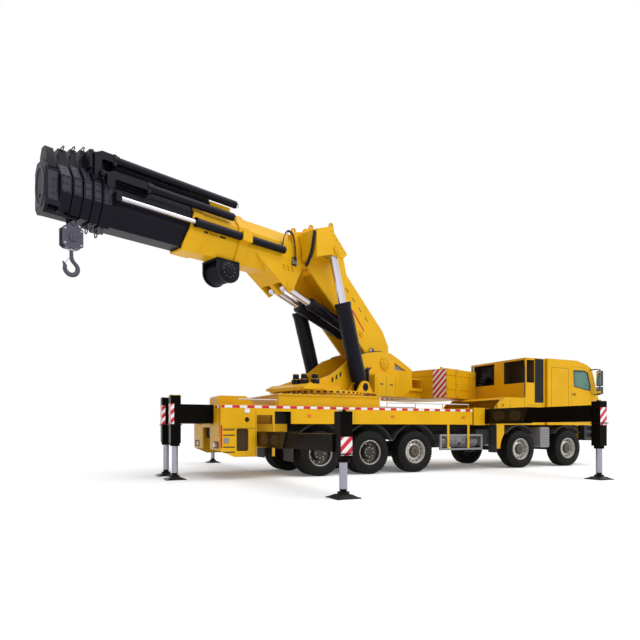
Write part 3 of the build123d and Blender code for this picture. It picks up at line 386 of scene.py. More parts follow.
def rod_chrome():
    return finish("rod_chrome", colours().chrome, rough=0.16, metal=1.0, wear=0.0, dust=0.02,
                  grain=160.0, bump=0.02)


def bright_steel():
    return finish("bright_steel", (0.46, 0.45, 0.47), (0.2, 0.2, 0.2), 0.32, metal=0.9, wear=0.4,
                  dust=0.05, grain=90.0)


def foot_steel():
    rod = (0, 0, 1, 0.15, colours().jack, 0.9)
    return finish("foot_steel", colours().leg, (0.06, 0.055, 0.05), 0.3, gloss=0.12, wear=0.3,
                  dust=0.01, bands=[rod])


def tyre_rubber():
    return finish("tyre_rubber", colours().tyre, (0.02, 0.02, 0.02), 0.62, gloss=0.12, wear=0.4,
                  dust=0.02, grain=120.0, bump=0.2)


def rim_silver():
    return finish("rim_silver", colours().rim, (0.12, 0.11, 0.10), 0.36, metal=0.55, wear=0.4, dust=0.06)


def hub_brown():
    return finish("hub_brown", (0.080, 0.062, 0.042), (0.14, 0.11, 0.08), 0.45, metal=0.5,
                  wear=0.6, dust=0.05)


def hub_dark():
    return finish("hub_dark", (0.030, 0.028, 0.027), (0.10, 0.09, 0.08), 0.5, metal=0.4, wear=0.6,
                  dust=0.08)


def guard_grey():
    return finish("guard_grey", colours().grey, (0.4, 0.4, 0.4), 0.42, metal=0.2, wear=0.4, dust=0.06)


def tank_silver():
    return finish("tank_silver", (0.17, 0.165, 0.17), (0.08, 0.08, 0.08), 0.34, metal=0.6,
                  wear=0.2, dust=0.06)


def black_plastic():
    return finish("black_plastic", (0.009, 0.009, 0.010), (0.04, 0.04, 0.04), 0.5, gloss=0.22,
                  wear=0.4, dust=0.03, grain=220.0, bump=0.15)


def bumper_paint():
    corner = (1, 0, 0, 9.50 + LAST_AXLE[0], colours().yellow, 0.0)
    return finish("bumper_paint", (0.014, 0.014, 0.016), (0.08, 0.07, 0.06), 0.4, wear=0.4,
                  dust=0.1, bands=[corner])


def casting():
    return finish("casting", (0.05, 0.048, 0.046), (0.16, 0.15, 0.14), 0.6, metal=0.5, wear=0.5,
                  dust=0.08, grain=70.0, bump=0.25)


def cab_trim():
    return finish("cab_trim", (0.05, 0.05, 0.052), (0.1, 0.1, 0.1), 0.7, wear=0.3, dust=0.0,
                  grain=260.0, bump=0.2)


def hose_rubber():
    return finish("hose_rubber", (0.012, 0.012, 0.013), (0.05, 0.05, 0.05), 0.55, wear=0.2,
                  dust=0.05, grain=300.0, bump=0.2)


# A dark brown that paints the shade inside recesses and openings
def recess_brown():
    return finish("recess_brown", (0.050, 0.030, 0.012), (0.10, 0.07, 0.04), 0.6, gloss=0.15,
                  wear=0.4, dust=0.02)


def marking_red():
    return finish("marking_red", colours().red, (0.3, 0.05, 0.06), 0.35, wear=0.2, dust=0.05)


def lens(name, colour, rough=0.14, dust=0.05):
    return finish(name, colour, rough=rough, coat=0.6, wear=0.0, dust=dust, grain=400.0, bump=0.1)


def lamp_white():
    return lens("lamp_white", (0.80, 0.80, 0.82), rough=0.12)


def lamp_red():
    return lens("lamp_red", (0.22, 0.008, 0.010))


def marker_orange():
    return lens("marker_orange", colours().marker, dust=0.02)


def mirror_glass():
    return finish("mirror_glass", (0.75, 0.78, 0.80), rough=0.05, metal=1.0, wear=0.0, dust=0.03,
                  bump=0.0)


def dark_glass():
    return finish("dark_glass", (0.006, 0.006, 0.007), rough=0.3, gloss=0.2, wear=0.0, dust=0.03,
                  bump=0.0)


def tread_plate():
    """Chequered walkway plate: crossed raised bars over grey paint"""
    if "tread_plate" in bpy.data.materials:
        return bpy.data.materials["tread_plate"]
    material = finish("tread_plate", (0.16, 0.16, 0.17), (0.4, 0.4, 0.4), 0.45, metal=0.5,
                      wear=0.5, dust=0.06)
    w = Wiring(material.node_tree)
    where = w.add("ShaderNodeTexCoord").outputs["Object"]
    bars = w.add("ShaderNodeTexChecker", {"Vector": where, "Scale": 24.0})
    relief = next(node for node in w.tree.nodes if node.type == "BUMP")
    w.fill(relief, {"Strength": 0.6, "Height": bars.outputs["Fac"]})
    return material


def striped(name, pitch, lean):
    """Red and white marking film with a little dirt"""
    if name in bpy.data.materials:
        return bpy.data.materials[name]
    material = finish(name, colours().white, rough=0.35, wear=0.0, dust=0.08, grain=300.0, bump=0.05)
    w = Wiring(material.node_tree)
    film = {"First": opaque(colours().red), "Second": opaque(colours().white), "Pitch": pitch, "Lean": lean}
    bands = w.add("ShaderNodeGroup", film, node_tree=striping())
    aged = next(node for node in w.tree.nodes if node.type == "GROUP" and node.node_tree.name == "weathering")
    w.fill(aged, {"Paint": bands.outputs["Colour"]})
    return material


def hazard():
    return striped("hazard_stripes", sizes().stripe, 1.0)


def hazard_back():
    return striped("hazard_stripes_back", sizes().stripe, -1.0)


def edge_blocks():
    return striped("edge_blocks", sizes().edge_block, 0.0)


def green_glass():
    """Tinted window glass with faint smears in its gloss"""
    if "green_glass" in bpy.data.materials:
        return bpy.data.materials["green_glass"]
    material, w, shader = new_material("green_glass")
    where = w.add("ShaderNodeTexCoord").outputs["Object"]
    smear = w.add("ShaderNodeTexNoise", {"Vector": where, "Scale": 3.0, "Detail": 3.0}).outputs["Fac"]
    gloss = w.add("ShaderNodeMapRange", {0: smear, 1: 0.3, 2: 0.8, 3: 0.02, 4: 0.09}).outputs[0]
    tone = w.mix(smear, opaque(colours().glass), opaque([0.9 * part for part in colours().glass]))
    w.fill(shader, {"Transmission Weight": 0.85, "IOR": 1.45, "Base Color": tone, "Roughness": gloss})
    return material


# Mesh building: one Forge collects the faces of one piece, each with a finish.
def ring_spots(centre, axis, radius, count):
    """Points evenly round a circle about an axis"""
    axis = Vector(axis).normalized()
    across = axis.orthogonal().normalized()
    third = axis.cross(across)
    turns = [2 * pi * i / count for i in range(count)]
    return [Vector(centre) + (across * (radius * cos(t)) + third * (radius * sin(t))) for t in turns]


def linked(name, data):
    """An object of some data in the scene"""
    thing = bpy.data.objects.new(name, data)
    bpy.context.scene.collection.objects.link(thing)
    return thing


class Forge:
    """Faces of one piece, in metres, with the finish that each takes"""

    def __init__(self):
        self.mesh = bmesh.new()
        self.finishes = []

    def paint(self, faces, coat):
        if coat not in self.finishes:
            self.finishes.append(coat)
        for face in faces:
            face.material_index = self.finishes.index(coat)

    def prism(self, points, axis, a, b, coat):
        """An outline in the plane across an axis, drawn from a to b along it"""
        order = {"x": (2, 0, 1), "y": (0, 2, 1), "z": (0, 1, 2)}[axis]
        ends = [[self.mesh.verts.new([(u, v, w)[k] for k in order]) for u, v in points] for w in (a, b)]
        faces = [self.mesh.faces.new(ends[0]), self.mesh.faces.new(ends[1][::-1])]
        count = len(points)
        for i in range(count):
            j = (i + 1) % count
            faces.append(self.mesh.faces.new((ends[0][i], ends[1][i], ends[1][j], ends[0][j])))
        self.paint(faces, coat)

    def block(self, x0, x1, y0, y1, z0, z1, coat):
        self.prism([(x0, y0), (x1, y0), (x1, y1), (x0, y1)], "z", z0, z1, coat)

    def lathe(self, profile, centre, axis, coat, steps=28, close=False, caps=True):
        """A line of (radius, height) turned about an axis through a centre"""
        way = Vector(axis).normalized()
        rings = []
        for radius, height in profile:
            spots = ring_spots(Vector(centre) + way * height, axis, radius, steps)
            rings.append([self.mesh.verts.new(spot) for spot in spots])
        pairs = list(zip(rings, rings[1:]))
        if close:
            pairs.append((rings[-1], rings[0]))
        faces = []
        for near, far in pairs:
            for i in range(steps):
                j = (i + 1) % steps
                faces.append(self.mesh.faces.new((near[i], near[j], far[j], far[i])))
        if caps and not close:
            faces.append(self.mesh.faces.new(rings[0][::-1]))
            faces.append(self.mesh.faces.new(rings[-1]))
        self.paint(faces, coat)

    def bar(self, p, q, radius, coat, steps=16):
        run = Vector(q) - Vector(p)
        self.lathe([(radius, 0), (radius, run.length)], p, run, coat, steps)

    def hoop(self, centre, axis, ring, radius, coat, steps=20, sides=8):
        """A round bar bent to a ring"""
        turns = [2 * pi * i / sides for i in range(sides)]
        profile = [(ring + radius * cos(turn), radius * sin(turn)) for turn in turns]
        self.lathe(profile, centre, axis, coat, steps, close=True)

    def seams(self, lines, sign, y, depth=SEAM):
        """Dark lines (x, x, z, z) on the flank at y"""
        for x0, x1, z0, z1 in lines:
            self.block(x0, x1, sign * y, sign * (y + depth), z0, z1, frame_black)

    def corner_bolts(self, x, y, z, reach, radius):
        """Four bolts on a plate's top"""
        for dx in (-reach, reach):
            for dy in (-reach, reach):
                self.bolt((x + dx, y + dy, z), UP, radius, bright_steel)

    def bolt(self, place, axis, radius, coat):
        """A hexagon head on its washer"""
        rise = radius * 0.7
        self.lathe([(radius * 1.4, 0), (radius * 1.4, rise * 0.3)], place, axis, coat, 12)
        raised = Vector(place) + Vector(axis).normalized() * rise * 0.3
        self.lathe([(radius, 0), (radius, rise * 0.8), (radius * 0.8, rise)], raised, axis, coat, 6)

    def bolt_ring(self, centre, axis, ring, count, radius, coat):
        for place in ring_spots(centre, axis, ring, count):
            self.bolt(place, axis, radius, coat)

    def pin_cap(self, centre, axis, radius, coat, count=6):
        """A bevelled cover plate over a pivot pin, with its ring of bolts"""
        plate = [(radius, 0), (radius, 0.016), (radius * 0.9, 0.024)]
        plate += [(radius * 0.4, 0.024), (radius * 0.34, 0.04)]
        self.lathe(plate, centre, axis, coat)
        raised = Vector(centre) + Vector(axis).normalized() * 0.022
        self.bolt_ring(raised, axis, radius * 0.68, count, min(sizes().bolt, radius * 0.14), coat)

    def piece(self, name, place, body, bevel=SOFT):
        """Makes the piece, sets it in its frame and lets it ride on a body"""
        bmesh.ops.recalc_face_normals(self.mesh, faces=self.mesh.faces)
        data = bpy.data.meshes.new(name)
        self.mesh.to_mesh(data)
        self.mesh.free()
        for coat in self.finishes:
            data.materials.append(coat())
        for polygon in data.polygons:
            polygon.use_smooth = True
        data.set_sharp_from_angle(angle=SMOOTH_BELOW)
        thing = linked(name, data)
        thing.matrix_world = place
        if bevel:
            rounding = thing.modifiers.new("rounded_edges", "BEVEL")
            rounding.width = bevel
            rounding.segments = 2
            rounding.limit_method = "ANGLE"
            rounding.angle_limit = BEVEL_ABOVE
        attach(thing, body)
        return thing


def hose(name, points, radius, place, body, coat, swell=None, rounding=4):
    """A round bar on one smooth line; swell holds the share of the radius at each point"""
    line = bpy.data.curves.new(name, "CURVE")
    line.dimensions = "3D"
    line.bevel_depth = radius
    line.bevel_resolution = rounding
    line.use_fill_caps = True
    spline = line.splines.new("NURBS")
    spline.points.add(len(points) - 1)
    for point, spot, share in zip(spline.points, points, swell or [1.0] * len(points)):
        point.co = (*spot, 1.0)
        point.radius = share
    spline.order_u = 3
    spline.use_endpoint_u = True
    line.materials.append(coat())
    thing = linked(name, line)
    thing.matrix_world = place
    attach(thing, body)
    return thing


class PaintNodes(bpy.types.Operator):
    """Gives every solid of the crane its finish"""
    bl_idname = "crane.paint_nodes"
    bl_label = "Paint Solids"

    def execute(self, context):
        finishes = [  # start of the node's name, finish
            ("wheel", tyre_rubber), ("knuckle", casting), ("engine", casting), ("chassis_frame", frame_black),
            # The outer beams take black paint with a painted brown reflection
            ("beam_outer", beam_brown), ("beam", leg_black), ("rear_beams", leg_black), ("jack", foot_steel),
            ("rear_jack", foot_steel), ("section", boom_black), ("winch", boom_black),
            ("lift_barrels", boom_black), ("fold_barrels", boom_black), ("lift_rods", rod_chrome),
            ("fold_rods", rod_chrome), ("cab_glass", green_glass), ("cab_interior", cab_trim),
            ("cab_fittings", black_plastic), ("mudguards", black_plastic), ("side_tanks", guard_grey),
            ("hook", hook_slate), ("front_bumper", bumper_paint), ("", crane_yellow),
        ]
        for name, node in frame["nodes"].items():
            coat = next(coat for start, coat in finishes if name.startswith(start))
            node.data.materials.clear()
            node.data.materials.append(coat())
        return {"FINISHED"}


class Wheels(bpy.types.Operator):
    """Wheels with moulded tread, dished discs, hand holes and nuts"""
    bl_idname = "crane.wheels"
    bl_label = "Wheels"

    rim, hub, twin_gap, holes = 0.30, 0.165, 0.015, 14
    ribs = ((-0.86, -0.56), (-0.48, -0.18), (-0.11, 0.11), (0.18, 0.48), (0.56, 0.86))
    block_faces = ((4, 5, 7, 6), (0, 1, 5, 4), (2, 6, 7, 3), (0, 4, 6, 2), (1, 3, 7, 5))

    def tyre(self, forge, y0, y1, radius):
        """Bulged walls under five rings of tread blocks"""
        size = sizes()
        mid, half, floor = (y0 + y1) / 2, (y1 - y0) / 2, radius - size.tread_depth
        wall = []
        for i in range(9):
            share = i / 8
            bulge = 0.88 + 0.12 * sin(pi * share ** 0.8)
            wall.append((self.rim + (floor - 0.03 - self.rim) * share, half * bulge))
        wall.insert(4, (wall[3][0] + 0.012, wall[3][1] + 0.005))
        wall += [(floor - 0.01, half * 0.86), (floor, half * 0.80)]
        profile = [(r, mid + y) for r, y in wall] + [(r, mid - y) for r, y in reversed(wall)]
        forge.lathe(profile, (0, 0, 0), ACROSS, tyre_rubber, 64, close=True)
        for row, (low, high) in enumerate(self.ribs):
            shoulder = row in (0, len(self.ribs) - 1)
            wide = 2 * pi / size.tread_blocks * (0.62 if shoulder else 0.8)
            for i in range(size.tread_blocks):
                turn = 2 * pi * (i + 0.5 * (row % 2)) / size.tread_blocks
                corners = []
                for r in (floor - 0.004, radius):
                    for a in (turn - wide / 2, turn + wide / 2):
                        for y in (low, high):
                            drop = 0.008 if shoulder and abs(y) > 0.8 and r == radius else 0.0
                            spot = ((r - drop) * cos(a), mid + half * y, (r - drop) * sin(a))
                            corners.append(forge.mesh.verts.new(spot))
                faces = [forge.mesh.faces.new([corners[k] for k in face]) for face in self.block_faces]
                forge.paint(faces, tyre_rubber)

    def turned(self, forge, profile, coat, steps=40):
        """An open shape turned about the wheel's axis"""
        forge.lathe(profile, (0, 0, 0), ACROSS, coat, steps, caps=False)

    def lip(self, out, step):
        """The rolled edge of a disc, down to its first step"""
        edge = [(self.rim + 0.004, out - 0.022), (self.rim - 0.012, out - 0.016)]
        return edge + [(self.rim - step, out - 0.05)]

    def back_edge(self, out):
        return [(self.rim + 0.002, 0.02 - out), (self.rim - 0.02, 0.02 - out)]

    def single(self, out, radius):
        """A tyre on a deep disc with hand holes"""
        forge = Forge()
        self.tyre(forge, -out, out, radius)
        disc = self.lip(out, 0.024) + [(self.rim - 0.03, out - 0.15), (0.235, out - 0.135)]
        disc += [(0.20, out - 0.10), (self.hub, out - 0.086)]
        self.turned(forge, disc, rim_silver, 48)
        hub = [(self.hub, out - 0.086), (0.158, out - 0.078), (0.13, out - 0.075), (0.125, out - 0.045)]
        self.turned(forge, hub + [(0.10, out - 0.036), (0.001, out - 0.034)], hub_brown)
        back = self.back_edge(out) + [(self.rim - 0.03, 0.0), (0.21, 0.0)]
        self.turned(forge, back + [(0.21, 0.05 - out), (0.09, 0.05 - out)], hub_dark)
        for i in range(self.holes):
            turn = 2 * pi * (i + 0.5) / self.holes
            spot = Vector((0.236 * cos(turn), out - 0.142, 0.236 * sin(turn)))
            lean = Vector((cos(turn) * 0.5, 1, sin(turn) * 0.5))
            forge.lathe([(0.026, 0), (0.026, 0.014), (0.020, 0.015)], spot, lean, hub_dark, 14)
        forge.bolt_ring((0, out - 0.094, 0), ACROSS, 0.188, 10, 0.015, bright_steel)
        forge.bolt_ring((0, out - 0.038, 0), ACROSS, 0.085, 8, 0.009, bright_steel)
        return forge

    def twin(self, out, radius):
        """Two tyres on a dish with its drum"""
        forge = Forge()
        self.tyre(forge, self.twin_gap, out, radius)
        self.tyre(forge, -out, -self.twin_gap, radius)
        lip = self.lip(out, 0.026)
        self.turned(forge, lip, rim_silver, 48)
        dish = [lip[-1], (0.262, out - 0.165), (0.235, out - 0.182), (0.178, out - 0.182)]
        self.turned(forge, dish, hub_brown, 48)
        drum = [(0.178, out - 0.184), (0.158, out - 0.15), (0.150, out - 0.068), (0.13, out - 0.058)]
        self.turned(forge, drum + [(0.001, out - 0.058)], hub_dark)
        back = self.back_edge(out) + [(self.rim - 0.04, 0.15 - out)]
        self.turned(forge, back + [(0.21, 0.16 - out), (0.20, 0.05 - out), (0.09, 0.05 - out)], hub_dark)
        self.turned(forge, [(self.rim + 0.002, -0.03), (self.rim + 0.002, 0.03)], hub_dark)
        forge.bolt_ring((0, out - 0.180, 0), ACROSS, 0.207, 10, 0.015, bright_steel)
        forge.bolt_ring((0, out - 0.060, 0), ACROSS, 0.115, 8, 0.010, bright_steel)
        return forge

    def execute(self, context):
        for number in "12345":
            for side, sign in SIDES:
                node = f"wheel_{number}_{side}"
                low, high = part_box(node)
                centre = [(a + b) / 2 for a, b in zip(low, high)]
                half, radius = (high[1] - low[1]) / 2, (high[2] - low[2]) / 2
                forge = self.twin(half, radius) if number in "45" else self.single(half, radius)
                place = Matrix.Translation(centre) @ Matrix.Rotation(0 if sign > 0 else pi, 4, "Z")
                wheel = forge.piece(f"road_{node}", place, node, SHARP)
                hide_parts(node)
        return {"FINISHED"}


class Outriggers(bpy.types.Operator):
    """Hazard plates, pressed plate outlines in a painted reflection, bolts and pins of the outriggers"""
    bl_idname = "crane.outriggers"
    bl_label = "Outriggers"

    plates = {"rear": (0.69, 0.99), "front": (1.20, 1.59), "back": (1.22, 1.67)}
    half = 0.105

    def execute(self, context):
        for name, sign, x, y, top in LEGS:
            forge = Forge()
            low, high = self.plates[name.split("_")[0]]
            outside = sign * (y + LEG_HALF)
            coat = hazard if sign > 0 else hazard_back
            forge.block(x - self.half, x + self.half, outside, outside + sign * PLATE, low, high, coat)
            forge.corner_bolts(x, sign * y, top, 0.08, 0.016)
            forge.lathe([(0.05, 0), (0.05, 0.02), (0.03, 0.03)], (x, sign * y, top), UP, leg_black, 20)
            forge.piece(f"leg_dressing_{name}", TRUCK, f"beam_inner_{name}")
            self.pressed_plate_reflections(name, sign, x)
        self.rear_legs()
        return {"FINISHED"}

    def rear_legs(self):
        """Plates round the back of both rear legs, with their yellow caps"""
        forge = Forge()
        low, high = self.plates["back"]
        back, cap = AUX_X - LEG_HALF, AUX_TOP + 0.012
        for sign in SIGNS:
            y = sign * AUX_Y
            right, left = y - self.half, y + self.half
            forge.block(back - PLATE, back, right, left, low, high, hazard)
            for flank, coat in ((1, hazard), (-1, hazard_back)):
                at = y + flank * LEG_HALF
                forge.block(back - PLATE, back + 0.075, at, at + flank * PLATE, low, high, coat)
            forge.block(AUX_X - self.half, AUX_X + self.half, right, left, AUX_TOP, cap, crane_yellow)
            forge.corner_bolts(AUX_X, y, cap, 0.08, 0.014)
        forge.piece("rear_leg_dressing", TRUCK, "rear_beams")

    def pressed_plate_reflections(self, name, sign, x):
        """Six-sided stiffener outlines along both flanks of the outer beam, drawn as flat sheets whose
        lighter colour paints their reflections
        """
        low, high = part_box(f"beam_outer_{name}")
        mid, tall = (low[2] + high[2]) / 2, (high[2] - low[2]) * 0.30
        start, step = HALF_WIDTH + 0.22, 0.56
        forge = Forge()
        for flank in (low[0] - LAST_AXLE[0], high[0] - LAST_AXLE[0]):
            out = -1 if flank < x else 1
            for i in range(2):
                near, far = sign * (start + step * i), sign * (start + step * i + step * 0.8)
                bend = (far - near) * 0.2
                outline = [(near, mid), (near + bend, mid + tall), (far - bend, mid + tall), (far, mid)]
                outline += [(far - bend, mid - tall), (near + bend, mid - tall)]
                # A sheet 0.2 mm thick whose lighter colour paints the reflection off each pressed outline
                forge.prism(outline, "x", flank, flank + out * 0.0002, leg_sheen)
        forge.piece(f"beam_plate_reflections_{name}", TRUCK, f"beam_outer_{name}", SHARP)


class Deck(bpy.types.Operator):
    """Edge markings, lamps, seams, rails, flaps, walkways and painted recess shade of the deck"""
    bl_idname = "crane.deck"
    bl_label = "Deck"

    edge_band, post_foot = (1.578, 1.634), 0.70
    rails = ((-2.0, -1.1), (1.85, 4.45))
    seam_lines = ((-1.612, -1.604, 0.52, 1.56), (-2.40, -1.62, 1.126, 1.134), (0.9, 0.906, 1.24, 1.57))
    step_edges = (0.61, 0.72, 0.98, 1.095)
    lamps = (-0.35, 1.95, 4.2)
    rear_lamps = ((1.03, lamp_red), (0.90, marker_orange), (0.77, lamp_white))
    bowl = ((0.055, 0), (0.055, 0.02), (0.04, 0.032), (0.001, 0.036))
    base_bolts, base_z = 12, 1.925

    def execute(self, context):
        marks, trim = Forge(), Forge()
        film, walk = DECK_REAR - FILM, DECK_TOP + 0.005
        for sign in SIGNS:
            y = sign * HALF_WIDTH
            out, edge = y + sign * FILM, y - sign * 0.02
            marks.block(DECK_REAR + 0.02, DECK_FRONT, y, out, *self.edge_band, edge_blocks)
            marks.block(DECK_REAR + 0.005, DECK_REAR + 0.04, y, out, self.post_foot, 1.20, edge_blocks)
            marks.block(film, DECK_REAR, y - sign * 0.42, edge, *self.edge_band, edge_blocks)
            marks.block(film, DECK_REAR, y - sign * 0.06, edge, self.post_foot, 1.56, edge_blocks)
            trim.seams(self.seam_lines, sign, HALF_WIDTH, 0.0015)
            for x in self.lamps:
                trim.block(x, x + 0.09, y, y + sign * 0.018, 1.40, 1.45, marker_orange)
            trim.block(-2.33, -2.22, y, y + sign * 0.02, 0.81, 0.92, guard_grey)
            trim.block(-1.87, -1.75, y, y + sign * 0.012, 1.47, 1.565, lamp_white)
            low, high = y - sign * 0.010, y + sign * SEAM
            for z in self.step_edges:
                trim.block(-2.35, -2.09, low, high, z - 0.012, z + 0.012, frame_black)
            rail_y, rail_z = sign * (HALF_WIDTH - 0.04), DECK_TOP + 0.13
            for x0, x1 in self.rails:
                trim.bar((x0 - 0.011, rail_y, rail_z), (x1 + 0.011, rail_y, rail_z), 0.0125, bright_steel)
            trim.block(-0.72, -0.705, sign * 0.66, sign * 1.24, 0.36, 0.92, black_plastic)
            trim.block(5.462, 5.476, sign * 0.88, sign * 1.20, 0.45, 1.215, black_plastic)
            for lamp, coat in self.rear_lamps:
                trim.lathe(self.bowl, (DECK_REAR, sign * lamp, 0.76), (-1, 0, 0), coat, 24)
            trim.block(DECK_REAR - 0.012, DECK_REAR, sign * 0.70, sign * 1.10, 0.685, 0.835, frame_black)
            trim.block(DECK_REAR - 0.006, DECK_REAR, sign * 0.92, sign * 1.16, 0.95, 1.45, crane_yellow)
            trim.block(-1.00, 1.70, sign * 1.13, sign * 1.19, DECK_TOP, walk, tread_plate)
            trim.block(1.80, DECK_FRONT - 0.05, sign * 0.30, sign * 1.16, DECK_TOP, walk, tread_plate)
        # Dark brown sheets that paint the shade of the right-side recess and of the rear opening
        trim.block(-2.08, -1.74, -1.212, -1.200, 0.60, 1.40, recess_brown)
        trim.block(DECK_REAR + 0.022, DECK_REAR + 0.030, -0.37, 0.37, 1.16, 1.56, recess_brown)
        trim.block(DECK_REAR - PLATE, DECK_REAR, -0.36, 0.24, 1.24, 1.54, recess_brown)
        trim.block(DECK_REAR - 0.014, DECK_REAR, -0.20, 0.08, 1.40, 1.44, frame_black)
        marks.piece("deck_markings", TRUCK, "chassis", SHARP)
        trim.piece("deck_trim", TRUCK, "chassis", FINE)
        base = Forge()
        for i in range(self.base_bolts):
            x = -0.96 + 2.62 * i / (self.base_bolts - 1)
            for sign in SIGNS:
                base.bolt((x, sign * 1.115, self.base_z), UP, 0.02, bright_steel)
        base.bolt_ring((0.6, 0, self.base_z), UP, 1.16, 24, 0.018, bright_steel)
        base.piece("slew_base_bolts", TRUCK, "chassis", SHARP)
        return {"FINISHED"}


class Cab(bpy.types.Operator):
    """Door glass, seals, grille, lamps, wipers, mirrors and panel lines of the cab"""
    bl_idname = "crane.cab"
    bl_label = "Cab"

    window = ((8.52, 2.89), (8.54, 2.40), (9.262, 2.29), (9.262, 2.44), (9.14, 2.83), (8.98, 2.89))
    seam_lines = (
        (7.58, 8.30, 2.93, 2.938), (7.58, 8.30, 1.45, 1.458), (7.58, 7.588, 1.45, 2.938),
        (8.292, 8.30, 1.45, 2.938),
    )
    bowl = ((0.062, 0), (0.062, 0.012), (0.05, 0.02), (0.001, 0.026))
    beacon = ((0.085, 0), (0.085, 0.02), (0.074, 0.03), (0.072, 0.09), (0.055, 0.112), (0.001, 0.118))
    mirrors = ((2.46, 2.86), (2.20, 2.38))
    slats, slat_low, slat_step = 5, 1.42, 0.09

    def on_screen(self, share, lift, y):
        """A point down the windscreen and out from it"""
        dx, dz = SCREEN_LOW[0] - SCREEN_TOP[0], SCREEN_LOW[1] - SCREEN_TOP[1]
        run = (dx * dx + dz * dz) ** 0.5
        return SCREEN_TOP[0] + dx * share - lift * dz / run, y, SCREEN_TOP[1] + dz * share + lift * dx / run

    def doors(self):
        for side, sign in SIDES:
            forge = Forge()
            forge.prism(self.window, "y", sign * (CAB_Y - 0.024), sign * (CAB_Y - 0.016), green_glass)
            forge.piece(f"door_glass_{side}", TRUCK, f"door_{side}", SHARP)
            forge = Forge()
            seal, face = sign * (CAB_Y - 0.008), sign * CAB_Y
            for (x0, z0), (x1, z1) in zip(self.window, self.window[1:] + self.window[:1]):
                forge.bar((x0, seal, z0), (x1, seal, z1), 0.017, black_plastic, 10)
            forge.block(8.48, 8.60, face - sign * 0.010, face + sign * PLATE, 2.145, 2.175, black_plastic)
            forge.block(8.46, 9.28, face, face + sign * FILM, 1.70, 1.712, frame_black)
            forge.piece(f"door_trim_{side}", TRUCK, f"door_{side}")

    def execute(self, context):
        self.doors()
        trim = Forge()
        for sign in SIGNS:
            y = sign * CAB_Y
            trim.seams(self.seam_lines, sign, CAB_Y)
            trim.block(7.66, 7.74, y, y + sign * 0.016, 1.34, 1.385, marker_orange)
            trim.block(9.395, 9.455, y, y + sign * 0.02, 1.60, 1.74, marker_orange)
            mirror_y = sign * (CAB_Y + 0.19)
            for z0, z1 in self.mirrors:
                trim.block(9.382, 9.386, mirror_y - 0.08, mirror_y + 0.08, z0, z1, mirror_glass)
            lamp_y = sign * 0.78
            for dy in (-0.075, 0.075):
                trim.lathe(self.bowl, (9.715, lamp_y + dy, 1.05), ALONG, lamp_white, 24)
            trim.block(9.70, 9.718, lamp_y + sign * 0.17, lamp_y + sign * 0.29, 1.0, 1.10, marker_orange)
            for z in (0.83, 1.04):
                trim.block(9.08, 9.46, y - sign * 0.10, y - sign * 0.005, z + 0.002, z + 0.012, tread_plate)
            foot, tip = self.on_screen(0.90, 0.012, sign * 0.15), self.on_screen(0.35, 0.020, sign * 0.55)
            trim.bar(foot, tip, 0.009, black_plastic, 8)
            top, end = self.on_screen(0.14, 0.014, sign * 0.58), self.on_screen(0.62, 0.014, sign * 0.50)
            trim.bar(top, end, 0.010, black_plastic, 8)
        for i in range(self.slats):
            low = self.slat_low + self.slat_step * i
            trim.block(9.637, 9.650, -0.81, 0.81, low + 0.004, low + 0.046, black_plastic)
        trim.block(CAB_FRONT, CAB_FRONT + PLATE, -0.86, 0.86, 1.90, 1.93, black_plastic)
        trim.block(9.672, 9.680, -0.50, 0.50, 0.88, 1.11, black_plastic)
        for z in (0.92, 0.98, 1.04):
            trim.block(9.680, 9.690, -0.49, 0.49, z, z + 0.018, bright_steel)
        trim.lathe(self.beacon, (8.59, 0, CAB_ROOF), UP, marker_orange)
        trim.block(8.45, 8.73, -0.55, 0.55, CAB_ROOF, CAB_ROOF + 0.012, black_plastic)
        trim.piece("cab_trim", TRUCK, "chassis", FINE)
        wheel = Forge()
        lean = Vector((-0.743, 0, 0.669))
        wheel.hoop(Vector((9.06, 0.62, 2.14)) + lean * 0.02, lean, 0.205, 0.018, black_plastic, 40, 10)
        wheel.piece("steering_hoop", TRUCK, "chassis", SHARP)
        return {"FINISHED"}


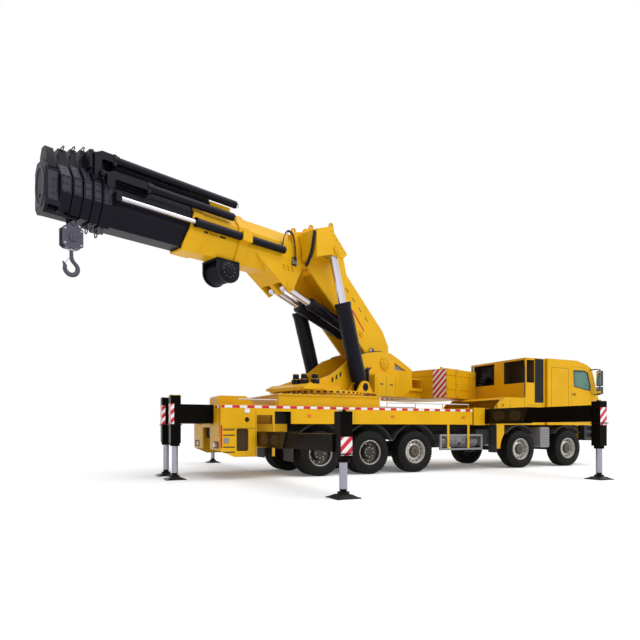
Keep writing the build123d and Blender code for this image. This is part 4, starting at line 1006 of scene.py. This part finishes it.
class Cabinets(bpy.types.Operator):
    """Plain black panel, louvres, ducts, fittings and painted recess shade of the cabinets behind the cab"""
    bl_idname = "crane.cabinets"
    bl_label = "Cabinets"

    panel, border = (6.985, 7.33, 1.88, 3.165), 0.012
    louvres, folds = 10, 13
    liners = (  # x, x, y, y, z, z of the linings of both recesses
        (6.955, 6.968, -1.14, -0.305, 2.465, 3.114), (6.625, 6.968, -1.145, -0.302, 2.460, 2.465),
        (6.625, 6.968, -1.145, -0.302, 3.113, 3.119), (6.625, 6.968, -0.306, -0.301, 2.462, 3.118),
        (6.625, 7.297, 0.102, 0.106, 2.202, 3.118), (6.625, 7.297, 1.084, 1.088, 2.202, 3.118),
        (7.290, 7.298, 0.104, 1.088, 2.202, 3.118), (6.625, 7.297, 0.104, 1.088, 2.201, 2.205),
        (6.625, 7.297, 0.104, 1.088, 3.114, 3.118),
    )
    seam_lines = ((6.70, 7.36, 1.80, 1.808), (6.02, 6.028, 1.30, 1.98), (6.58, 6.588, 1.30, 1.98))
    fold = ((0.085, -0.02), (0.105, 0.0), (0.085, 0.02))

    def execute(self, context):
        forge = Forge()
        near, proud = -CABINET_Y, -CABINET_Y - 0.009
        x0, x1, z0, z1 = self.panel
        forge.block(x0, x1, near - 0.005, near, z0, z1, dark_glass)
        for x in (x0, x1 - self.border):
            forge.block(x, x + self.border, proud, near, z0, z1, black_plastic)
        for z in (z0, z1 - self.border):
            forge.block(x0, x1, proud, near, z, z + self.border, black_plastic)
        for i in range(self.louvres):
            z = 2.50 + 0.06 * i
            slat = [(-1.02, z), (-1.02, z + 0.012), (-0.34, z + 0.04), (-0.34, z + 0.028)]
            forge.prism(slat, "x", 6.953, 6.966, frame_black)
        # Dark brown linings that paint the shade inside both recesses
        for liner in self.liners:
            forge.block(*liner, recess_brown)
        forge.block(CABINET_REAR + 0.003, CABINET_REAR + 0.023, 0.098, 1.092, 2.196, 2.47, crane_yellow)
        for y in (0.28, 0.52, 0.76):
            forge.lathe([(0.085, 0), (0.085, 0.42)], (7.18, y, 2.205), UP, black_plastic, 24)
            forge.bar((7.18, y, 2.62), (6.86, y, 2.78), 0.07, hose_rubber, 20)
        forge.block(6.95, 7.295, 0.12, 1.07, 2.86, 3.10, black_plastic)
        for i in range(self.folds):
            turn = pi * i / (self.folds - 1)
            spot = (6.80, 0.52 - 0.34 * cos(turn), 2.42 + 0.42 * sin(turn))
            forge.lathe(self.fold, spot, (0, sin(turn) * 0.34, cos(turn) * 0.42), black_plastic, 20)
        forge.block(CABINET_REAR - PLATE, CABINET_REAR, 1.00, 1.05, 2.05, 3.12, bright_steel)
        for sign in SIGNS:
            y = sign * CABINET_Y
            forge.seams(self.seam_lines, sign, CABINET_Y)
            forge.block(6.72, 6.80, y, y + sign * 0.02, 1.60, 1.64, black_plastic)
            grip = y + sign * 0.03
            forge.bar((6.56, grip, 2.05), (6.56, grip, 2.95), 0.014, black_plastic, 12)
            for z in (2.10, 2.90):
                forge.bar((6.56, grip, z), (6.63, y - sign * 0.03, z), 0.012, black_plastic, 10)
        forge.piece("cabinet_fittings", TRUCK, "chassis", FINE)
        return {"FINISHED"}


class Tanks(bpy.types.Operator):
    """Ribbed tanks, guard posts and tread facing of the side tanks"""
    bl_idname = "crane.tanks"
    bl_label = "Tanks"

    shell, rib, ribs, treads = 0.147, 0.155, 6, 7

    def execute(self, context):
        forge = Forge()
        for x in (3.56, 4.21):
            profile = [(0.05, -0.012), (0.11, -0.006), (self.shell, 0.012)]
            for i in range(self.ribs):
                start = 0.06 + 0.08 * i
                profile += [(self.shell, start - 0.006), (self.rib, start)]
                profile += [(self.rib, start + 0.03), (self.shell, start + 0.036)]
            profile += [(self.shell, 0.548), (0.11, 0.566), (0.05, 0.572)]
            forge.lathe(profile, (x, -1.05, 0.78), ALONG, tank_silver, 40)
        forge.block(3.40, 5.46, -0.63, -0.60, 0.60, 1.228, frame_black)
        forge.block(4.96, 5.44, -0.93, -0.60, 0.66, 1.10, black_plastic)
        for x in (3.75, 4.43):
            forge.block(x - 0.035, x + 0.035, -1.242, -1.226, 0.58, 1.235, crane_yellow)
        for i in range(self.treads):
            z = 0.63 + 0.075 * i
            forge.block(7.16, 7.47, -1.226, -1.218, z, z + 0.028, tread_plate)
        for x in (3.62, 4.20):
            forge.block(x, x + 0.05, 0.425, 1.205, 1.176, 1.190, bright_steel)
            forge.block(x, x + 0.05, 1.195, 1.206, 0.64, 1.18, bright_steel)
        cap = [(0.05, 0), (0.05, 0.03), (0.042, 0.04)]
        forge.lathe(cap, (3.95, 1.05, 1.178), UP, black_plastic, 20)
        forge.piece("tank_dressing", TRUCK, "chassis", FINE)
        return {"FINISHED"}


class Turntable(bpy.types.Operator):
    """Slew motors, pin covers, work lamps, pipes, edging and notched ring of the turntable, with dark blocks
    that paint the shade in the notches and in a recess
    """
    bl_idname = "crane.turntable"
    bl_label = "Turntable"

    motors = ((0.948, 0.06), (0.900, 0.30), (0.760, 0.54))
    edging = ((-0.95, 3.08), (-1.20, 3.17), (-1.70, 3.25), (-2.05, 3.26))
    slots = ((0.15, 2.38), (0.0, 2.455), (-0.15, 2.535))
    motor = (
        (0.109, 0), (0.109, 0.115), (0.098, 0.134), (0.078, 0.136), (0.078, 0.24), (0.06, 0.266),
        (0.02, 0.27),
    )
    lamp = ((0.07, 0), (0.07, 0.05), (0.055, 0.06), (0.05, 0.052))
    lamp_lens = ((0.05, 0), (0.04, 0.008), (0.001, 0.01))
    slot = ((-0.035, -0.07), (0.035, -0.105), (0.035, 0.015), (-0.035, 0.05))
    # Outline of a dark block that paints the shade inside one notch of the ring
    notch = ((1.06, -0.036), (1.10, -0.036), (1.10, 0.036), (1.06, 0.036))
    notches, motor_z = 44, 2.20
    pipes = ((-1.00, 0.66), (-1.06, 0.72), (-1.10, 0.64))

    def execute(self, context):
        forge = Forge()
        for x, y in self.motors:
            forge.lathe(self.motor, (x, y, self.motor_z), UP, boom_black, 28)
            forge.bolt_ring((x, y, self.motor_z), UP, 0.125, 8, 0.011, bright_steel)
        for sign in SIGNS:
            face, way = sign * CHEEK_Y, (0, sign, 0)
            forge.pin_cap((BOOM_FOOT[0], face + sign * 0.008, BOOM_FOOT[1]), way, 0.20, crane_yellow, 8)
            forge.pin_cap((LIFT_BASE[0], sign * (LIFT_Y + 0.18), LIFT_BASE[1]), way, 0.10, boom_black, 4)
            lamp_y, lamp_way = face - sign * 0.04, (1, 0, 0.1)
            forge.lathe(self.lamp, (-1.48, lamp_y, 3.25), lamp_way, black_plastic, 20)
            forge.lathe(self.lamp_lens, (-1.425, lamp_y, 3.255), lamp_way, lamp_white, 20)
            forge.block(-1.50, -1.46, face - sign * 0.06, face - sign * 0.02, 3.16, 3.20, black_plastic)
            gusset = [(-2.45, 2.80), (-2.45, 3.00), (-3.02, 2.80)]
            forge.prism(gusset, "y", face - sign * 0.05, lamp_y, guard_grey)
            for x, z in self.slots:
                outline = [(x + dx, z + dz) for dx, dz in self.slot]
                forge.prism(outline, "y", face - sign * 0.02, face - sign * 0.012, frame_black)
            for x, y in self.pipes:
                forge.bar((x, sign * y, 2.05), (x, sign * y, 2.68), 0.024, hose_rubber, 14)
                forge.bar((x, sign * y, 2.67), (x - 0.10, sign * y, 2.74), 0.024, hose_rubber, 14)
            side_box = sign * 0.90
            for x in (-2.02, -1.62, -1.21):
                forge.block(x - 0.004, x + 0.004, side_box, side_box + sign * 0.002, 2.06, 2.52, frame_black)
            for x in (-1.83, -1.40):
                forge.block(x - 0.06, x + 0.06, side_box, side_box + sign * 0.012, 2.30, 2.33, black_plastic)
        # A dark brown sheet that paints shade on the turntable behind the boom foot
        forge.block(-3.538, -3.53, -0.36, 0.36, 2.36, 2.59, recess_brown)
        forge.piece("turntable_dressing", CRANE, "turntable", FINE)
        for side, sign in SIDES:
            points = [(x, sign * (CHEEK_Y - 0.02), z) for x, z in self.edging]
            hose(f"cheek_edging_{side}", points, 0.018, CRANE, "turntable", hose_rubber)
        ring = Forge()
        ring.bolt_ring((0, 0, 2.045), UP, 1.05, 36, 0.016, bright_steel)
        # Dark blocks in the ring's notches paint the shade inside them
        for i in range(self.notches):
            turn = 2 * pi * i / self.notches
            out, along = Vector((cos(turn), sin(turn))), Vector((-sin(turn), cos(turn)))
            corners = [out * r + along * t for r, t in self.notch]
            ring.prism([(spot.x, spot.y) for spot in corners], "z", 1.988, 2.028, frame_black)
        ring.piece("slew_ring_bolts", CRANE, "turntable", SHARP)
        return {"FINISHED"}


class Counterweight(bpy.types.Operator):
    """Hazard plates, lifting lugs and clamp bolts of the counterweight"""
    bl_idname = "crane.counterweight"
    bl_label = "Counterweight"

    lug = ((-0.09, 0), (0.09, 0), (0.05, 0.10), (-0.05, 0.10))

    def execute(self, context):
        forge = Forge()
        low, high = TAIL_LOW + 0.03, TAIL_TOP - 0.02
        for sign in SIGNS:
            coat = hazard_back if sign > 0 else hazard
            inner, outer = sign * 0.76, sign * 1.225
            forge.block(TAIL_FRONT, TAIL_FRONT + PLATE, inner, outer, low, high, coat)
            forge.block(TAIL_BACK - PLATE, TAIL_BACK, inner, outer, low, high, coat)
            for x in (-4.70, -5.50):
                for z in (2.12, 2.48, 2.84):
                    forge.bolt((x + 0.045, sign * (HALF_WIDTH + 0.025), z), (0, sign, 0), 0.018, bright_steel)
            for x in (-4.5, -5.45):
                lug = [(x + dx, TAIL_TOP + dz) for dx, dz in self.lug]
                forge.prism(lug, "y", sign * 0.80, sign * 0.84, crane_yellow)
        forge.piece("counterweight_dressing", CRANE, "turntable", FINE)
        return {"FINISHED"}


class Booms(bpy.types.Operator):
    """Boom stripe, pin covers, valve cluster and hoses of the main and outer boom"""
    bl_idname = "crane.booms"
    bl_label = "Booms"

    stripe = ((-1.20, 3.733), (-0.72, 4.224))
    housing_slots = (  # start, end, lean
        (3.30, 3.46, 0.0), (3.50, 3.53, 0.03), (3.57, 3.60, 0.03), (3.64, 3.67, 0.03), (3.74, 3.90, 0.0),
    )
    valve_loop = (
        (1.29, 5.16), (1.30, 5.45), (1.36, 5.72), (1.50, 5.80), (1.64, 5.70), (1.70, 5.46), (1.71, 5.28),
    )
    knuckle_hose = (
        (1.14, 0.93, 5.72), (1.165, 0.925, 5.55), (1.165, 0.87, 5.28), (1.15, 0.74, 5.07), (1.09, 0.60, 4.99),
    )
    hose_end = ((1.02, 0.50, 5.04), (0.98, 0.45, 5.12))
    grip = ((0, 0), (0.12, 0.10), (0.105, 0.118), (-0.015, 0.018))
    cylinder = (
        (0.06, 0), (EXT_R + 0.003, 0.02), (EXT_R + 0.003, 2.36), (EXT_R + 0.014, 2.362),
        (EXT_R + 0.014, 2.40), (0.052, 2.404),
    )

    def execute(self, context):
        main, outer = Forge(), Forge()
        for sign in SIGNS:
            face, way = sign * BOOM_Y, (0, sign, 0)
            (x0, z0), (x1, z1) = self.stripe
            stripe = [(x0, z0), (x1, z1), (x1 - 0.03, z1 + 0.035), (x0 - 0.03, z0 + 0.035)]
            main.prism(stripe, "y", face, face + sign * FILM, marking_red)
            main.pin_cap((KNUCKLE[0], face + sign * 0.018, KNUCKLE[1]), way, 0.15, crane_yellow, 8)
            main.pin_cap((LIFT_EYE[0], sign * (LIFT_Y + 0.185), LIFT_EYE[1]), way, 0.11, crane_yellow, 6)
            main.pin_cap((-1.08, face, 3.684), way, 0.09, crane_yellow, 6)
            for i in range(6):
                share = i / 5
                spot = (0.15 + 0.48 * share, sign * 0.95, 5.45 + 0.40 * share)
                main.lathe([(0.012, 0), (0.012, 0.004)], spot, way, frame_black, 10)
            for i in range(4):
                x, z = -1.35 + 0.26 * i, 4.03 + 0.215 * i
                grip = [(x + dx, z + dz) for dx, dz in self.grip]
                main.prism(grip, "y", face, face + sign * SEAM, frame_black)
            outer.pin_cap((1.45, sign * TONGUE_Y, 4.50), way, 0.095, crane_yellow, 6)
        main.piece("main_boom_dressing", CRANE, "main_boom", FINE)
        outer.lathe(self.cylinder, (1.70, EXT_Y, EXT_Z), ALONG, boom_black, 32)
        outer.block(1.25, 1.40, TONGUE_Y, TONGUE_Y + 0.02, 4.99, 5.17, hub_dark)
        for i in range(3):
            x, y = 1.273 + 0.05 * i, TONGUE_Y + 0.035
            outer.block(x - 0.015, x + 0.015, TONGUE_Y, TONGUE_Y + 0.05, 5.02, 5.10 + 0.02 * i, bright_steel)
            outer.bar((x, y, 5.10), (x, y, 5.19), 0.013, hub_dark, 12)
        outer.block(3.02, 3.535, -0.17, 0.17, 5.75, 5.93, crane_yellow)
        for x0, x1, lean in self.housing_slots:
            for sign in SIGNS:
                slot = [(x0, 5.125), (x1, 5.125), (x1 + lean, 5.165), (x0 + lean, 5.165)]
                outer.prism(slot, "y", sign * 0.40, sign * 0.402, frame_black)
        for i in range(5):
            x = 1.95 + 0.40 * i
            outer.bar((x, -0.30, 5.62), (x + 0.02, -0.30, 5.66), 0.02, bright_steel, 12)
        outer.piece("outer_boom_dressing", CRANE, "outer_boom", FINE)
        radius = sizes().hose
        for i in range(2):
            points = [(x, y - 0.05 * i, z + 0.03 * i) for x, y, z in self.knuckle_hose]
            points += self.hose_end
            hose(f"knuckle_hose_{i + 1}", points, radius * 1.3, CRANE, "main_boom", hose_rubber)
        for i in range(3):
            points = [(x + 0.025 * i, TONGUE_Y + 0.04 + 0.02 * i, z - 0.03 * i) for x, z in self.valve_loop]
            hose(f"valve_hose_{i + 1}", points, radius * 0.6, CRANE, "outer_boom", hose_rubber)
        self.barrel_hoses(radius)
        return {"FINISHED"}

    def barrel_hoses(self, radius):
        """Hoses clipped along the near side of each lift barrel"""
        run = Vector((LIFT_EYE[0] - LIFT_BASE[0], 0, LIFT_EYE[1] - LIFT_BASE[1])).normalized()
        across = Vector((-run.z, 0, run.x))
        clips = Forge()
        for side, sign in SIDES:
            base = Vector((LIFT_BASE[0], sign * LIFT_Y, LIFT_BASE[1]))
            for i in range(3):
                aside = Vector((0, sign * (0.05 * i - 0.03), 0))
                beside = across * (LIFT_R + 0.018) + aside
                points = [base + run * along + beside for along in (0.30, 0.60, 1.10, 1.60, 1.95)]
                points.append(base + run * 2.08 + across * (LIFT_R - 0.02) + aside)
                hose(f"lift_hose_{side}_{i + 1}", points, radius, CRANE, "lift_barrels", hose_rubber)
            inner, outer = LIFT_R + 0.001, LIFT_R + 0.006
            clip = [(inner, -0.02), (outer, -0.02), (outer, 0.02), (inner, 0.02)]
            for along in (0.55, 1.10, 1.65):
                clips.lathe(clip, base + run * along, run, boom_black, 36, close=True)
            clips.bolt_ring(base + run * (LIFT_BARREL - 0.004), run, LIFT_R - 0.03, 12, 0.014, bright_steel)
        clips.piece("lift_barrel_clips", CRANE, "lift_barrels", SHARP)


class Telescope(bpy.types.Operator):
    """Rod, tube necks, heads, ridge and tip of the telescope"""
    bl_idname = "crane.telescope"
    bl_label = "Telescope"

    sections = (  # number, half width with collar, collar start, collar end, crest, rings below
        ("1", 0.408, 5.75, 5.93, 6.03, True), ("2", 0.384, 5.945, 6.09, 6.08, True),
        ("3", 0.360, 6.105, 6.25, 6.06, False), ("4", 0.336, 6.265, 6.42, 6.01, False),
        ("5", 0.312, 6.435, 6.62, 5.95, False),
    )
    middle = 5.265
    necks = (  # section, tube's tail, tube's head, leg start, leg end, y, z, foot
        ("1", 3.15, 5.15, 5.77, 5.91, 0.45, 5.62, 5.40), ("2", 3.00, 5.75, 5.955, 6.08, 0.33, 5.96, 5.52),
    )
    collar = ((0.095, -0.10), (0.095, 0.0), (0.085, 0.01))
    crown = ((-0.17, 5.56), (-0.15, 5.78), (-0.07, 5.93), (0.07, 5.93), (0.15, 5.78), (0.17, 5.56))

    def execute(self, context):
        rod = Forge()
        rod.bar((1.80, EXT_Y, EXT_Z), (5.66, EXT_Y, EXT_Z), 0.0455, rod_chrome, 24)
        rod.piece("section_rod_1", CRANE, "section_1", SHARP)
        self.tube_necks()
        for row in self.sections:
            self.head(*row)
        ridge = Forge()
        ridge.block(4.02, 5.755, -0.17, 0.17, 5.70, 5.955, boom_black)
        ridge.block(3.56, 4.02, -0.17, 0.17, 5.83, 5.955, boom_black)
        ridge.piece("section_ridge", CRANE, "section_1")
        self.tip()
        return {"FINISHED"}

    def tube_necks(self):
        """Goosenecks that hold the upper tubes to their sections"""
        for number, tail, head, near, far, y, z, foot in self.necks:
            forge = Forge()
            back = head - 0.08
            outline = [(back, z - 0.07), (back, z + 0.07), (near, z + 0.07), (far, z), (far, foot)]
            outline += [(near, foot), (near, z - 0.09), (near - 0.04, z - 0.07)]
            for dy in (-0.07, 0.052):
                forge.prism(outline, "y", y + dy, y + dy + 0.018, boom_black)
            forge.block(back, near, y - 0.07, y + 0.07, z + 0.054, z + 0.072, boom_black)
            forge.lathe(self.collar, (head - 0.02, y, z), ALONG, boom_black, 28, caps=False)
            forge.hoop((tail - 0.03, y, z), ACROSS, 0.055, 0.007, hook_slate)
            forge.piece(f"tube_neck_{number}", CRANE, f"section_{number}")

    def head(self, number, half, start, end, crest, rings):
        """Plates, crest, hose guide and rings of one section's head"""
        forge = Forge()
        mid, roof = (start + end) / 2, self.middle + half * 1.28
        for sign in SIGNS:
            self.head_plate(forge, sign, half, start, end)
        if rings:
            for sign in SIGNS:
                spot = (mid, sign * 0.13, self.middle - half * 1.28 - 0.045)
                forge.hoop(spot, ALONG, 0.05, 0.012, hook_slate)
        outline = [(-0.14, roof - 0.02), (-0.12, roof + 0.10), (-0.09, crest)]
        outline += [(-y, z) for y, z in reversed(outline)]
        forge.prism(outline, "x", start + 0.015, end - 0.03, boom_black)
        arch = [pi * i / 8 for i in range(9)]
        guide = [(mid - 0.05 * sin(turn), 0.14 * cos(turn), crest - 0.03 + 0.13 * sin(turn)) for turn in arch]
        hose(f"hose_guide_{number}", guide, 0.010, CRANE, f"section_{number}", head_slate)
        forge.piece(f"section_dressing_{number}", CRANE, f"section_{number}", FINE)

    def tip(self):
        """Flank plates, crown and bow of the boom's tip"""
        tip = Forge()
        for sign in SIGNS:
            tip.block(6.635, 6.80, sign * 0.22, sign * 0.226, 4.99, 5.47, head_slate)
            for z in (5.08, 5.20, 5.32):
                tip.block(6.70, 6.735, sign * 0.226, sign * 0.228, z, z + 0.04, frame_black)
        tip.prism(self.crown, "x", 6.66, 6.80, boom_black)
        turns = [2 * pi * i / 24 for i in range(25)]
        bow = [(6.852, 0.19 * cos(turn), 5.24 + 0.33 * sin(turn)) for turn in turns]
        for near, far in zip(bow, bow[1:]):
            tip.bar(near, far, 0.016, hook_slate, 10)
        tip.piece("tip_crown", CRANE, "section_5")

    def head_plate(self, forge, sign, half, start, end):
        """Wear plates on the flank and the upper slope of a collar, with bolts and slots"""
        flank, mid = sign * half, (start + end) / 2
        face, slot = flank + sign * 0.006, flank + sign * 0.008
        x0, x1 = start + 0.025, end - 0.02
        forge.block(x0, x1, flank, face, self.middle - half * 0.39, self.middle + half * 0.46, head_slate)
        for dz in (-0.10, 0.03, 0.14):
            z = self.middle + dz
            for x in (start + 0.045, end - 0.04):
                forge.bolt((x, face, z), (0, sign, 0), 0.010, boom_black)
            forge.block(mid - 0.018, mid + 0.018, face, slot, z - 0.02, z + 0.02, frame_black)
        low, high = Vector((half * 0.97, half * 0.531)), Vector((half * 0.47, half * 1.212))
        out = Vector((0.806, 0.592))
        rows = [(0.0, 1.0, 0.006, x0, x1, head_slate)]
        rows += [(share, share + 0.12, 0.008, mid - 0.02, mid + 0.02, frame_black) for share in (0.25, 0.62)]
        for near, far, rise, x0, x1, coat in rows:
            p, q = low.lerp(high, near), low.lerp(high, far)
            corners = (p, q, q + out * rise, p + out * rise)
            outline = [(sign * spot.x, self.middle + spot.y) for spot in corners]
            forge.prism(outline, "x", x0, x1, coat)


class Winch(bpy.types.Operator):
    """Round-ended winch with a grooved drum, gear covers and bolts"""
    bl_idname = "crane.winch"
    bl_label = "Winch"

    drum, under, plate, grooves = (3.14, 4.52), 4.753, 0.29, 14
    cover = (
        (0.20, 0), (0.20, 0.02), (0.17, 0.032), (0.12, 0.032), (0.11, 0.055), (0.06, 0.06), (0.001, 0.062),
    )

    def execute(self, context):
        forge = Forge()
        x, z = self.drum
        profile = []
        for i in range(self.grooves):
            y = -0.225 + 0.45 * i / (self.grooves - 1)
            profile += [(0.225, y - 0.014), (0.24, y - 0.007), (0.24, y + 0.007), (0.225, y + 0.014)]
        forge.lathe(profile, (x, 0, z), ACROSS, boom_black, 40)
        outline = [(x + self.plate, self.under), (x - self.plate, self.under)]
        turns = [pi * i / 16 for i in range(17)]
        outline += [(x - self.plate * cos(turn), z - self.plate * 0.9 * sin(turn)) for turn in turns]
        for sign in SIGNS:
            forge.prism(outline, "y", sign * 0.245, sign * 0.285, boom_black)
            forge.lathe(self.cover, (x, sign * 0.285, z), (0, sign, 0), boom_black, 36)
            forge.bolt_ring((x, sign * 0.315, z), (0, sign, 0), 0.145, 10, 0.012, hook_slate)
        forge.block(x - self.plate, x + self.plate, -0.285, 0.285, self.under - 0.04, self.under, boom_black)
        winch = forge.piece("rope_winch", CRANE, "outer_boom", ROUND)
        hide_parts("winch")
        return {"FINISHED"}


class Hook(bpy.types.Operator):
    """Forged hook with its latch, and the pin covers and bolts of its block"""
    bl_idname = "crane.hook"
    bl_label = "Hook"

    def execute(self, context):
        x, z = HOOK_PIN
        forge = Forge()
        for sign in SIGNS:
            face = sign * 0.092
            forge.pin_cap((x, face, z), (0, sign, 0), 0.042, hook_slate, 4)
            forge.pin_cap((x, face, z - 0.25), (0, sign, 0), 0.075, hook_slate, 6)
            for dx, dz in ((-0.14, -0.12), (0.14, -0.12), (-0.14, -0.37), (0.14, -0.37)):
                forge.bolt((x + dx, face, z + dz), (0, sign, 0), 0.014, bright_steel)
        forge.piece("hook_block_dressing", CRANE, "hook_block", FINE)
        self.forged_hook(x, z - 0.78)
        return {"FINISHED"}

    def forged_hook(self, x, z):
        """A round bar that swells at the seat and tapers to the tip"""
        bar, seat = 0.113, 0.037
        sweep = [(0.0, 0.31, 0.8), (0.0, 0.22, 0.9), (-0.01, 0.15, 1.0)]
        for degrees in range(120, 381, 20):
            turn = radians(degrees)
            sweep.append((bar * cos(turn), bar * sin(turn), 0.9 + 0.25 * sin(radians(degrees - 120) * 0.7)))
        sweep += [(bar + 0.016, 0.075, 0.55), (bar + 0.030, 0.105, 0.30)]
        points = [(x + dx, 0, z + dz) for dx, dz, share in sweep]
        swell = [share for dx, dz, share in sweep]
        hook = hose("forged_hook", points, seat, CRANE, "hook", hook_slate, swell, 6)
        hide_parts("hook")
        parts = Forge()
        parts.lathe([(0.03, 0.30), (0.03, 0.432)], (x, 0, z), UP, hook_slate, 24)
        nut = [(0.048, 0.310), (0.052, 0.318), (0.052, 0.340), (0.048, 0.3495)]
        parts.lathe(nut, (x, 0, z), UP, bright_steel, 24)
        parts.bar((x + 0.03, 0, z + 0.19), (x + 0.125, 0, z + 0.06), 0.008, bright_steel, 10)
        parts.piece("hook_shank", CRANE, "hook", SHARP)


class Stage(bpy.types.Operator):
    """Pale floor, soft light and the camera at the photograph's angle"""
    bl_idname = "crane.stage"
    bl_label = "Studio"

    def execute(self, context):
        studio = context.scene.crane_studio
        self.floor()
        self.sky(studio)
        lamp = bpy.data.lights.new("key", "SUN")
        lamp.energy = studio.sun
        lamp.angle = radians(75)
        key = linked("key", lamp)
        key.rotation_euler = Vector(studio.key_run).to_track_quat("-Z", "Y").to_euler()
        lens = bpy.data.cameras.new("camera")
        lens.sensor_width = 36.0
        lens.lens = studio.lens
        lens.shift_y = studio.rise
        lens.clip_end = 400.0
        camera = linked("camera", lens)
        camera.location = TRUCK @ Vector((studio.camera_x, studio.camera_y, studio.camera_z))
        camera.rotation_euler = (radians(90), 0, studio.heading)
        context.scene.camera = camera
        context.scene.view_settings.view_transform = "Standard"
        return {"FINISHED"}

    def floor(self):
        reach = 140.0
        corners = [(x * reach, y * reach, 0) for x, y in ((-1, -1), (1, -1), (1, 1), (-1, 1))]
        data = bpy.data.meshes.new("floor")
        data.from_pydata(corners, [], [(0, 1, 2, 3)])
        material, w, shader = new_material("studio_floor")
        where = w.add("ShaderNodeTexCoord").outputs["Object"]
        cloud = w.add("ShaderNodeTexNoise", {"Vector": where, "Scale": 0.15}).outputs["Fac"]
        tone = w.mix(cloud, (0.90, 0.90, 0.90, 1), (0.93, 0.93, 0.93, 1))
        w.fill(shader, {"Base Color": tone, "Roughness": 0.9, "Specular IOR Level": 0.1})
        w.fill(shader, {"Emission Color": (1, 1, 1, 1), "Emission Strength": 0.12})
        data.materials.append(material)
        plane = linked("floor", data)

    def sky(self, studio):
        world = bpy.data.worlds.new("studio")
        world.use_nodes = True
        bpy.context.scene.world = world
        w = Wiring(world.node_tree)
        w.tree.nodes.clear()
        path = w.add("ShaderNodeLightPath")
        seen = w.math("MAXIMUM", path.outputs["Is Camera Ray"], path.outputs["Is Transmission Ray"])
        soft = w.add("ShaderNodeBackground", {"Color": (0.95, 0.97, 1.0, 1), "Strength": studio.sky})
        white = w.add("ShaderNodeBackground", {"Color": (1, 1, 1, 1), "Strength": 1.0})
        seen = w.math("MAXIMUM", seen, path.outputs["Is Glossy Ray"])
        both = w.add("ShaderNodeMixShader", {0: seen, 1: soft.outputs[0], 2: white.outputs[0]})
        w.add("ShaderNodeOutputWorld", {"Surface": both.outputs[0]})


PIECES = (
    PaintNodes, Wheels, Outriggers, Deck, Cab, Cabinets, Tanks,
    Turntable, Counterweight, Booms, Telescope, Winch, Hook, Stage,
)


class CranePanel(bpy.types.Panel):
    """Lists the steps that dress the crane"""
    bl_idname = "VIEW3D_PT_crane"
    bl_label = "Truck Crane"
    bl_space_type = "VIEW_3D"
    bl_region_type = "UI"
    bl_category = "Crane"

    def draw(self, context):
        for step in PIECES:
            self.layout.operator(step.bl_idname)
        for group in (context.scene.crane_colours, context.scene.crane_sizes, context.scene.crane_studio):
            for key in group.__annotations__:
                self.layout.prop(group, key)


GROUPS = (("crane_colours", CraneColours), ("crane_sizes", CraneSizes), ("crane_studio", StudioSettings))


def register():
    for key, group in GROUPS:
        bpy.utils.register_class(group)
        setattr(bpy.types.Scene, key, bpy.props.PointerProperty(type=group))
    for step in (*PIECES, CranePanel):
        bpy.utils.register_class(step)


def unregister():
    for step in reversed((*PIECES, CranePanel)):
        bpy.utils.unregister_class(step)
    for key, group in reversed(GROUPS):
        delattr(bpy.types.Scene, key)
        bpy.utils.unregister_class(group)


def main():
    register()
    for step in PIECES:
        area, name = step.bl_idname.split(".")
        getattr(getattr(bpy.ops, area), name)()
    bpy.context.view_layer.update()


if __name__ == "__main__":
    main()
